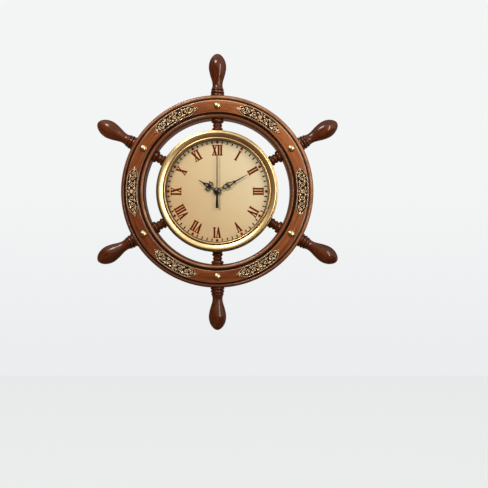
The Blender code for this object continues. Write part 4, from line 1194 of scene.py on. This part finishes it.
def makeSpacer():
    outer, inner = glass["radius"], bezel["lipR"]
    back, front = spacer["back"], glass["height"] - spacer["gap"]
    ring = easedCorners([(outer, back, 0.0002), (outer, front, 0.0003), (inner, front, 0.0003),
                         (inner, back, 0.0002)], closed=True)
    mesh = turnedMesh("spacerRing", ring, bezel["sides"], closed=True)
    addPiece("spacerRing", mesh, [darkBrass], "spacer_ring")


makeCase()
makeBezel()
makeGlass()
makeSpacer()
print("case, bezel, glass and spacer made")


# ---- dial

dial = {
    "radius": 0.0857,
    "holeR": 0.0042,
    "height": 0.0233,
    "thickness": 0.0010,
    "print": 0.00006,
    "sides": {"plate": 160, "hole": 32, "track": 200, "dot": 24, "dotHalo": 28},
    "numeralFoot": 0.0575,
    "numeralHead": 0.0745,
    "stroke": 0.0026,
    "hair": 0.0014,
    "serif": 0.0012,
    "halo": 0.00058,
    "tickInnerR": 0.0760,
    "tickOuterR": 0.0804,
    "tickHalf": 0.00094,
    "trackInnerR": 0.0810,
    "trackOuterR": 0.0822,
    "dotCentreR": 0.0785,
    "dotR": 0.0019,
    "dotHaloR": 0.0027,
    "numerals": ("XII", "I", "II", "III", "IV", "V", "VI", "VII", "VIII", "IX", "X", "XI"),
    "advance": {"I": 0.0042, "V": 0.0088, "X": 0.0086},
}
dialFace = dial["height"] + dial["thickness"]


def letterOutline(letter, left):
    # one outline for each letter, feet on y = 0, from its left edge
    high = dial["numeralHead"] - dial["numeralFoot"]
    wide = dial["advance"][letter]
    bar, hair, slab = dial["stroke"], dial["hair"], dial["serif"]
    broad, top = bar * 1.1, high - slab
    if letter == "I":
        middle = left + wide / 2
        half, reach = bar / 2, wide / 2 - 0.0001
        side = [(reach, 0), (reach, slab * 0.7), (half, slab * 1.5),
                (half, high - slab * 1.5), (reach, high - slab * 0.7), (reach, high)]
        right = [(middle + x, y) for x, y in side]
        return right + [(2 * middle - x, y) for x, y in reversed(right)]
    if letter == "V":
        tip = left + wide * 0.52
        thick = (left + 0.0009, left + 0.0009 + broad)
        thin = (left + wide - 0.0009 - hair, left + wide - 0.0009)
        run = tip - bar * 0.3 - thick[0]
        crotch = (thin[0] - thick[1]) / (run + thin[1] - tip - hair * 0.5)
        crotchX = thick[1] + run * crotch
        crotchY = top * (1 - crotch)
        return [
            (tip - bar * 0.3, 0), (tip + hair * 0.5, 0), (thin[1], top),
            (thin[1] + 0.0008, top), (thin[1] + 0.0008, high), (thin[0] - 0.0010, high),
            (thin[0] - 0.0010, top), (thin[0], top), (crotchX, crotchY), (thick[1], top),
            (thick[1] + 0.0009, top), (thick[1] + 0.0009, high), (thick[0] - 0.0008, high),
            (thick[0] - 0.0008, top), (thick[0], top),
        ]
    # X: a thick stroke down to the right crossed by a hair stroke, alike when turned half round
    thickTop, thickFoot = left + 0.0008, left + wide - 0.0008 - broad
    thinTop, thinFoot = left + wide - 0.0009 - hair, left + 0.0009

    def crossing(thickSide, thinSide):
        # where a side of the falling stroke meets a side of the rising one
        t = (thinTop + thinSide - thickTop - thickSide) / (
            (thickFoot - thickTop) - (thinFoot - thinTop))
        return thickTop + thickSide + (thickFoot - thickTop) * t, top - (top - slab) * t

    half = [
        (thinFoot - 0.0007, 0), (thinFoot + hair + 0.0009, 0), (thinFoot + hair + 0.0009, slab),
        (thinFoot + hair, slab), crossing(0, hair), (thickFoot, slab), (thickFoot - 0.0008, slab),
        (thickFoot - 0.0008, 0), (thickFoot + broad + 0.0007, 0),
        (thickFoot + broad + 0.0007, slab), (thickFoot + broad, slab), crossing(broad, hair),
        (thinTop + hair, top), (thinTop + hair + 0.0007, top),
    ]
    return half + [(2 * left + wide - x, high - y) for x, y in half]


def numeralOutlines():
    outlines = []
    for hour, numeral in enumerate(dial["numerals"]):
        turn = Matrix.Rotation(-tau * hour / 12, 2)
        left = -sum(dial["advance"][letter] for letter in numeral) / 2
        for letter in numeral:
            outlines.append([tuple(turn @ Vector((x, y + dial["numeralFoot"])))
                             for x, y in letterOutline(letter, left)])
            left += dial["advance"][letter]
    return outlines


def widened(outline, gap):
    # the outline grown by a gap on every side
    count = len(outline)
    area = sum(outline[i - 1][0] * outline[i][1] - outline[i][0] * outline[i - 1][1]
               for i in range(count))
    sign = 1 if area > 0 else -1
    grown = []
    for index in range(count):
        before = Vector(outline[index - 1])
        here = Vector(outline[index])
        after = Vector(outline[(index + 1) % count])
        one, two = (here - before).normalized(), (after - here).normalized()
        out = Vector((one.y + two.y, -one.x - two.x)) * sign
        if out.length < 1e-6:
            out = Vector((one.y, -one.x)) * sign
        grown.append(tuple(here + out.normalized() * gap))
    return grown


def minuteTicks():
    # ticks between the hours, a little wider outwards
    half, inner, outer = dial["tickHalf"], dial["tickInnerR"], dial["tickOuterR"]
    corners = [(-half, inner), (half, inner), (half * 1.1, outer), (-half * 1.1, outer)]
    ticks = []
    for minute in range(60):
        if minute % 5:
            turn = Matrix.Rotation(-tau * minute / 60, 2)
            ticks.append([tuple(turn @ Vector(corner)) for corner in corners])
    return ticks


def makeNumeralHalo(shapes):
    # the numerals' salmon edge; neighbours overlap, so they lie at levels of their own
    thin = dial["print"]
    parts = []
    for index, shape in enumerate(shapes):
        sheet = sheetMesh("halo", [widened(shape, dial["halo"])], thin)
        drawn = ([tuple(v.co) for v in sheet.vertices], [list(p.vertices) for p in sheet.polygons])
        parts.append(moved(drawn, raised(dialFace + thin * (0.5 + 0.02 * (index % 3)))))
    mesh = meshFrom("numeralHalo", *joined(parts), crease=0)
    addPiece("numeralHalo", mesh, [salmonPrint])


def makeDial():
    sides = dial["sides"]
    plate = [circle(dial["radius"], sides["plate"]), circle(dial["holeR"], sides["hole"])]
    plate = sheetMesh("dialPlate", plate, dial["thickness"])
    addPiece("dialPlate", plate, [dialEnamel], "dial",
             raised(dial["height"] + dial["thickness"] / 2))
    numerals = numeralOutlines()
    makeNumeralHalo(numerals)
    track = [circle(dial[edge], sides["track"]) for edge in ("trackOuterR", "trackInnerR")]
    centres = [clockPlace(dial["dotCentreR"], tau * hour / 12) for hour in range(12)]
    dots = [circle(dial["dotR"], sides["dot"], centre) for centre in centres]
    dotHalos = [circle(dial["dotHaloR"], sides["dotHalo"], centre) for centre in centres]
    # each print with its level, in thicknesses of print above the face
    for name, outlines, finish, level in (
            ("dialNumerals", numerals, redBrownPrint, 1.6),
            ("minuteTrack", minuteTicks() + track, brownPrint, 0.5),
            ("hourDotHalos", dotHalos, salmonPrint, 0.5),
            ("hourDots", dots, redBrownPrint, 1.5)):
        mesh = sheetMesh(name, outlines, dial["print"])
        addPiece(name, mesh, [finish],
                 at=raised(dialFace + dial["print"] * level))


makeDial()
print("dial made")


# ---- hands

# Each hand is drawn pointing to twelve. Its shapes are a hub of outer and bore radius, single
# strokes and mirrored pairs of (x, y, half width), and rings of (x, y, radius, half width,
# stretch).
hands = {"boldness": 1.55, "hubSides": 40, "ringSides": 28, "crease": 50}
hourHand = {
    "height": 0.0276,
    "angle": radians(301.2),
    "deep": 0.0006,
    "steps": 6,
    # the open neck, the two side lobes, the front lobe and the spear
    "shapes": (
        ("hub", 0.0044, 0.0031),
        ("pair", (0.0010, 0.0040, 0.0005), (0.0018, 0.0066, 0.00042), (0.0013, 0.0094, 0.00045),
         (0.0003, 0.0112, 0.0006)),
        ("single", (0, 0.0105, 0.0007), (0, 0.0128, 0.0011), (0, 0.0160, 0.0008)),
        ("ring", -0.0047, 0.0146, 0.0026, 0.00058, 1.05),
        ("ring", 0.0047, 0.0146, 0.0026, 0.00058, 1.05),
        ("pair", (0.0000, 0.0118, 0.0005), (0.0016, 0.0124, 0.00055), (0.0026, 0.0138, 0.0006)),
        ("pair", (0.0064, 0.0168, 0.00035), (0.0072, 0.0182, 0.0005), (0.0064, 0.0192, 0.0004)),
        ("ring", 0, 0.0194, 0.0025, 0.00060, 1.12),
        ("pair", (0.0020, 0.0168, 0.0005), (0.0031, 0.0158, 0.0005)),
        ("single", (0, 0.0222, 0.0012), (0, 0.0234, 0.00145), (0, 0.0246, 0.0011),
         (0, 0.0268, 0.00062), (0, 0.0310, 0.00048), (0, 0.0348, 0.00016)),
    ),
}
minuteHand = {
    "height": 0.0288,
    "angle": radians(61.5),
    "deep": 0.0006,
    "steps": 6,
    # the open neck, the ring, the tapering lattice with curled shoulders, the bead and spear
    "shapes": (
        ("hub", 0.0029, 0.0017),
        ("pair", (0.0006, 0.0027, 0.0005), (0.0017, 0.0062, 0.0004), (0.0015, 0.0088, 0.0004),
         (0.0004, 0.0112, 0.0006)),
        ("ring", 0, 0.0153, 0.0032, 0.00062, 1.08),
        ("pair", (0.0014, 0.0182, 0.0005), (0.0032, 0.0190, 0.00055), (0.0041, 0.0204, 0.0006),
         (0.0034, 0.0216, 0.0005), (0.0028, 0.0208, 0.00035)),
        ("pair", (0.0006, 0.0190, 0.0004), (0.0024, 0.0212, 0.0005), (0.0026, 0.0232, 0.00055),
         (0.0018, 0.0268, 0.00055), (0.0007, 0.0308, 0.0006)),
        ("single", (0, 0.0186, 0.0006), (0, 0.0202, 0.0004), (0, 0.0222, 0.00012)),
        ("single", (0, 0.0296, 0.0007), (0, 0.0314, 0.0017), (0, 0.0330, 0.0009),
         (0, 0.0350, 0.00068), (0, 0.0450, 0.00052), (0, 0.0560, 0.00018)),
    ),
}
secondHand = {
    "height": 0.0310,
    "angle": 0,
    "deep": 0.0004,
    "steps": 4,
    # the black tail and hub, and the red-brown needle
    "shapes": (
        ("single", (0, -0.0011, 0.0007), (0, -0.0060, 0.00095), (0, -0.0150, 0.00118),
         (0, -0.0262, 0.00142), (0, -0.0267, 0.00120)),
        ("hub", 0.0014, 0.0008),
        ("single", (0, 0.0011, 0.00072), (0, 0.0120, 0.00068), (0, 0.0580, 0.00060)),
    ),
}
cap = {
    "height": 0.0317,
    "radius": 0.0044,
    "sides": 48,
    # the underside and the rim, as radius and height
    "underside": ((0, 0.0005), (0.0008, 0.0005), (0.0008, 0), (0.0041, 0), (0.0044, 0.0001)),
    "rise": 0.0014,
    "domeSteps": 10,
}


def hubRing(outer, bore, deep):
    section = easedCorners([(outer, 0, 0.0001), (outer, deep, 0.0002), (bore, deep, 0.0001),
                            (bore, 0, 0)], closed=True)
    return turned(section, hands["hubSides"], closed=True)


def strokeRing(x, y, radius, half, stretch, deep):
    half *= hands["boldness"]
    turns = [tau * step / hands["ringSides"] for step in range(hands["ringSides"])]
    return ridge([(x + radius * cos(t), y + radius * stretch * sin(t), half, deep)
                  for t in turns], closed=True)


def handShapes(kind, marks, hand):
    deep = hand["deep"]
    if kind == "hub":
        return [hubRing(*marks, deep)]
    if kind == "ring":
        return [strokeRing(*marks, deep)]
    shapes = []
    for side in (1, -1) if kind == "pair" else (1,):
        path = smoothPath([(side * x, y, half) for x, y, half in marks], hand["steps"])
        shapes.append(ridge([(x, y, max(half * hands["boldness"], leastHalf), deep)
                             for x, y, half in path]))
    return shapes


def makeHand(name, hand, finishes, node, body, second=0):
    # second is how many of the shapes have the second finish, counted from the first
    shapes = [shape for kind, *marks in hand["shapes"] for shape in handShapes(kind, marks, hand)]
    mesh = meshFrom(name, *joined(shapes), crease=hands["crease"])
    count = sum(len(faces) for points, faces in shapes[:second])
    for polygon in mesh.polygons:
        polygon.material_index = 1 if polygon.index < count else 0
    place = raised(hand["height"]) @ Matrix.Rotation(-hand["angle"], 4, "Z")
    addPiece(name, mesh, finishes, node, place, body)


def makeCap():
    profile = list(cap["underside"])
    profile += dome(cap["radius"], profile[-1][1], cap["rise"], cap["domeSteps"])
    mesh = turnedMesh("secondHandCap", profile, cap["sides"])
    addPiece("secondHandCap", mesh, [capJapan], "second_hand_cap",
             raised(cap["height"]), "second_arbor")


makeHand("hourHand", hourHand, [blackJapan], "hour_hand", "hour_pipe")
makeHand("minuteHand", minuteHand, [blackJapan], "minute_hand", "minute_arbor")
makeHand("secondHand", secondHand, [redBrownPaint, blackJapan],
         "second_hand", "second_arbor", second=2)
makeCap()
print("hands made")


# ---- setting knob and battery

knob = {
    "place": (0.010242, 0.001806),
    "back": 0.0005,
    "radius": 0.0055,
    "thickness": 0.0029,
    "edge": 0.0002,
    "ridges": 36,
    "ridgeDepth": 0.00035,
    "gripSlot": (0.0070, 0.0016, 0.0008),
    "gripEdge": 0.0003,
}
cell = {
    "height": 0.0077,
    "middleY": -0.01941,
    "radius": 0.0071,
    "left": -0.0252,
    "right": 0.0240,
    "nubR": 0.0027,
    "nubEnd": 0.0252,
    # the bare ends: their length, and shares of the radius for the flat end's recess and foot
    # and for the shoulder round the nub
    "capLength": 0.0012,
    "recessShare": 0.62,
    "recessDepth": 0.0003,
    "footShare": 0.68,
    "shoulderShare": 0.70,
    "jacketInset": 0.00008,
    "sides": 72,
}


def makeKnob():
    thick, edge, count = knob["thickness"], knob["edge"], knob["ridges"] * 4
    outline = []
    for step in range(count):
        inward = knob["ridgeDepth"] if step % 4 in (2, 3) else 0
        outline.append(polar(knob["radius"] - inward - edge, tau * step / count))
    disc = sheetMesh("settingKnob", [outline], thick, edge)
    grip = boxMesh("knobGrip", knob["gripSlot"], knob["gripEdge"])
    addPiece("settingKnob", carve(disc, [(grip, raised(-thick / 2))]), [greyMoulding],
             "setting_knob",
             Matrix.Translation((*knob["place"], knob["back"] + thick / 2)), "setting_arbor")


def makeBattery():
    radius, left, right = cell["radius"], cell["left"], cell["right"]
    end, nub, nubEnd = cell["capLength"], cell["nubR"], cell["nubEnd"]
    jacket = radius - cell["jacketInset"]
    recess = left + cell["recessDepth"]
    section = easedCorners([
        (0, recess, 0),
        (radius * cell["recessShare"], recess, 0.0003),
        (radius * cell["footShare"], left, 0.0002),
        (radius - 0.0007, left, 0.0003),
        (radius, left + 0.0005, 0.0004),
        (radius, left + end, 0.0001),
        (jacket, left + end + 0.0001, 0.0001),
        (jacket, right - end, 0.0002),
        (radius - 0.0004, right - 0.0004, 0.0004),
        (radius * cell["shoulderShare"], right, 0.0003),
        (nub + 0.0006, right, 0.0002),
        (nub, right + 0.0002, 0.0002),
        (nub, nubEnd, 0.0004),
        (0, nubEnd, 0),
    ])
    mesh = turnedMesh("batteryCell", section, cell["sides"])
    for polygon in mesh.polygons:
        bare = polygon.center.z > right - end * 0.2 or polygon.center.z < left + end
        polygon.material_index = 1 if bare else 0
    place = Matrix.Translation((0, cell["middleY"], cell["height"]))
    addPiece("batteryCell", mesh, [cellJacket, zincSteel], "battery",
             place @ Matrix.Rotation(pi / 2, 4, "Y"))


makeKnob()
makeBattery()
print("setting knob and battery made")


# ---- pieces that keep their CAD shape

keptFinishes = {
    zincSteel: ("hanger_plate", "hanger_screw_1", "hanger_screw_2", "battery_contact_plus",
                "battery_contact_minus", "stator", "coil_core", "quartz_crystal"),
    agedBrass: ("bush_washer", "bush_nut"),
    blackJapan: ("minute_nut",),
    blackMoulding: ("movement_shell", "movement_back_cover"),
    whiteAcetal: ("train_bridge", "fifth_wheel", "second_wheel", "third_wheel", "centre_wheel",
                  "minute_wheel", "hour_wheel"),
    magnetFerrite: ("rotor",),
    copperWinding: ("coil",),
    greenBoard: ("circuit_board",),
}
# edges that show from behind, with the width of their rounding
softEdges = {"hanger_plate": 0.00025, "movement_shell": 0.0004, "movement_back_cover": 0.0003,
             "battery_contact_plus": 0.0001, "battery_contact_minus": 0.0001}


def finishKeptNodes():
    for finish, names in keptFinishes.items():
        for name in names:
            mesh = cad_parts[name].data
            for index in range(len(mesh.materials)):
                mesh.materials[index] = finish
    for name, width in softEdges.items():
        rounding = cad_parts[name].modifiers.new("softEdge", "BEVEL")
        rounding.width = width
        rounding.segments = 2
        rounding.limit_method = "ANGLE"
        rounding.angle_limit = radians(40)
        rounding.harden_normals = True


finishKeptNodes()
print("kept nodes finished")


# ---- stage, lights and camera

stage = {
    "floorHeight": -0.444,
    "floorBackY": 0.02,
    "floorFrontY": -5,
    "floorHalf": 4,
    "backgroundHigh": (0.900, 0.915, 0.915),
    "backgroundLow": (0.835, 0.850, 0.862),
    "floorGlow": (0.925, 0.940, 0.942),
    "glowShare": 0.80,
    "floorBase": (0.42, 0.43, 0.43),
    "floorRoughness": (0.60, 0.70),
    "floorMottle": (3, 3, 0.5),
    "floorShine": (0.10, 0.055, 0.035),
    # what shines in metal and varnish, from below on the left to above on the right
    "shines": ((0.00, (0.20, 0.11, 0.05)), (0.30, (0.13, 0.072, 0.030)),
               (0.47, (0.12, 0.068, 0.032)), (0.51, (0.26, 0.20, 0.13)),
               (0.57, (0.72, 0.62, 0.50)), (0.68, (0.92, 0.85, 0.74)), (1.0, (0.76, 0.72, 0.65))),
    "shineLift": (0.75, 0.66),  # shares of up and right
    "shineBehind": (0.20, 0.15, 0.12),
    "behindRange": (0.05, 0.55),
    "ambientRange": (-0.3, 0.5),
    "backgroundRange": (-0.16, 0.10),
    "ambient": (0.98, 0.99, 1.0),
    "ambientFront": 0.38,
    "ambientBehind": 0.62,
}
photo = {"place": (0.0431, -1.03, -0.2226), "lens": 46.05, "sensor": 36.0}
lamps = (
    # name, place, width, height, watts, colour, and whether it lights or only glints
    ("keyLamp", (-0.63, -1.23, 0.47), 0.36, 0.36, 11.6, (1.0, 0.985, 0.96), True),
    ("rightLamp", (0.42, -0.62, 0.26), 0.34, 0.34, 2.3, (1.0, 0.98, 0.95), True),
    ("upperGlint", (-0.34, -0.70, 0.66), 0.36, 0.28, 7.0, (1.0, 0.90, 0.78), False),
    ("stripGlint", (0.72, -0.98, 0.10), 0.12, 0.92, 7.2, (1.0, 0.87, 0.75), False),
)


def addGlow(tree, kind, colour, strength=1.0):
    # an even light, a "Background" or an "Emission", from a colour or an output
    glow = addNode(tree, kind)
    feedColour(colour, glow.inputs["Color"])
    feed(strength, glow.inputs["Strength"])
    return glow.outputs[0]


def makeWorld():
    world = bpy.data.worlds.new("studio")
    bpy.context.scene.world = world
    world.use_nodes = True
    # met by bounced rays only, so that the ambient light and what shines stay apart
    world.cycles.sampling_method = "NONE"
    tree = world.node_tree
    tree.nodes.clear()
    rays = addNode(tree, "LightPath").outputs
    x, y, z = axesOf(addNode(tree, "TexCoord").outputs["Generated"])
    up, right = stage["shineLift"]
    lift = plus(times(z, up), times(x, right))
    shine = addRamp(addRange(lift, -1, 1, 0, 1), stage["shines"])
    # behind the wheel it is dim
    behind = addRange(y, *stage["behindRange"], 0, 1)
    glossy = addGlow(tree, "Background", blendColours(behind, shine, stage["shineBehind"]))
    ambient = addGlow(tree, "Background", stage["ambient"], addRange(
        y, *stage["ambientRange"], stage["ambientFront"], stage["ambientBehind"]))
    height = addRange(z, *stage["backgroundRange"], 0, 1)
    backdrop = addGlow(tree, "Background", addRamp(height, [
        (0, stage["backgroundLow"]), (1, stage["backgroundHigh"])]))
    bounced = blendShaders(rays["Is Glossy Ray"], ambient, glossy)
    wire(blendShaders(rays["Is Camera Ray"], bounced, backdrop),
         addNode(tree, "OutputWorld").inputs["Surface"])


def makeFloor():
    z, half = stage["floorHeight"], stage["floorHalf"]
    front, back = stage["floorFrontY"], stage["floorBackY"]
    corners = [(-half, front, z), (half, front, z), (half, back, z), (-half, back, z)]
    mesh = bpy.data.meshes.new("floorSheet")
    mesh.from_pydata(corners, [], [[0, 1, 2, 3]])
    material, tree, shader = startFinish("paleFloor")
    fill(shader, {"Base Color": (*stage["floorBase"], 1), "Specular IOR Level": 0.0})
    mottle = addNoise(objectCoords(tree), *stage["floorMottle"])
    roughness = addRange(mottle, *usualNoise, *stage["floorRoughness"])
    wire(roughness, shader.inputs["Roughness"])
    rays = addNode(tree, "LightPath").outputs
    seen = doMath("MAXIMUM", rays["Is Camera Ray"], rays["Is Transmission Ray"])
    lit = blendShaders(times(seen, stage["glowShare"]), shader.outputs[0],
                       addGlow(tree, "Emission", stage["floorGlow"]))
    # in the varnish and the brass the floor shows dark, as in the photo
    dusk = addGlow(tree, "Emission", stage["floorShine"])
    wire(blendShaders(rays["Is Glossy Ray"], lit, dusk),
         tree.nodes["Material Output"].inputs["Surface"])
    mesh.materials.append(material)
    newObject("floorSheet", mesh)


def makeLamps():
    for name, place, wide, tall, watts, colour, lights in lamps:
        data = bpy.data.lights.new(name, "AREA")
        data.shape = "RECTANGLE"
        data.size, data.size_y = wide, tall
        data.energy = watts
        data.color = colour
        lamp = newObject(name, data)
        lamp.location = place
        away = faceFrame.translation - lamp.location
        lamp.rotation_euler = away.to_track_quat("-Z", "Y").to_euler()
        lamp.visible_camera = False
        lamp.visible_diffuse = lights
        lamp.visible_glossy = not lights


def makeCamera():
    data = bpy.data.cameras.new("photoCamera")
    data.lens, data.sensor_width = photo["lens"], photo["sensor"]
    camera = newObject("photoCamera", data)
    camera.location = photo["place"]
    camera.rotation_euler = (pi / 2, 0, 0)
    bpy.context.scene.camera = camera


makeWorld()
makeFloor()
makeLamps()
makeCamera()
bpy.context.scene.view_settings.view_transform = "Standard"
print("stage, lamps and camera made")
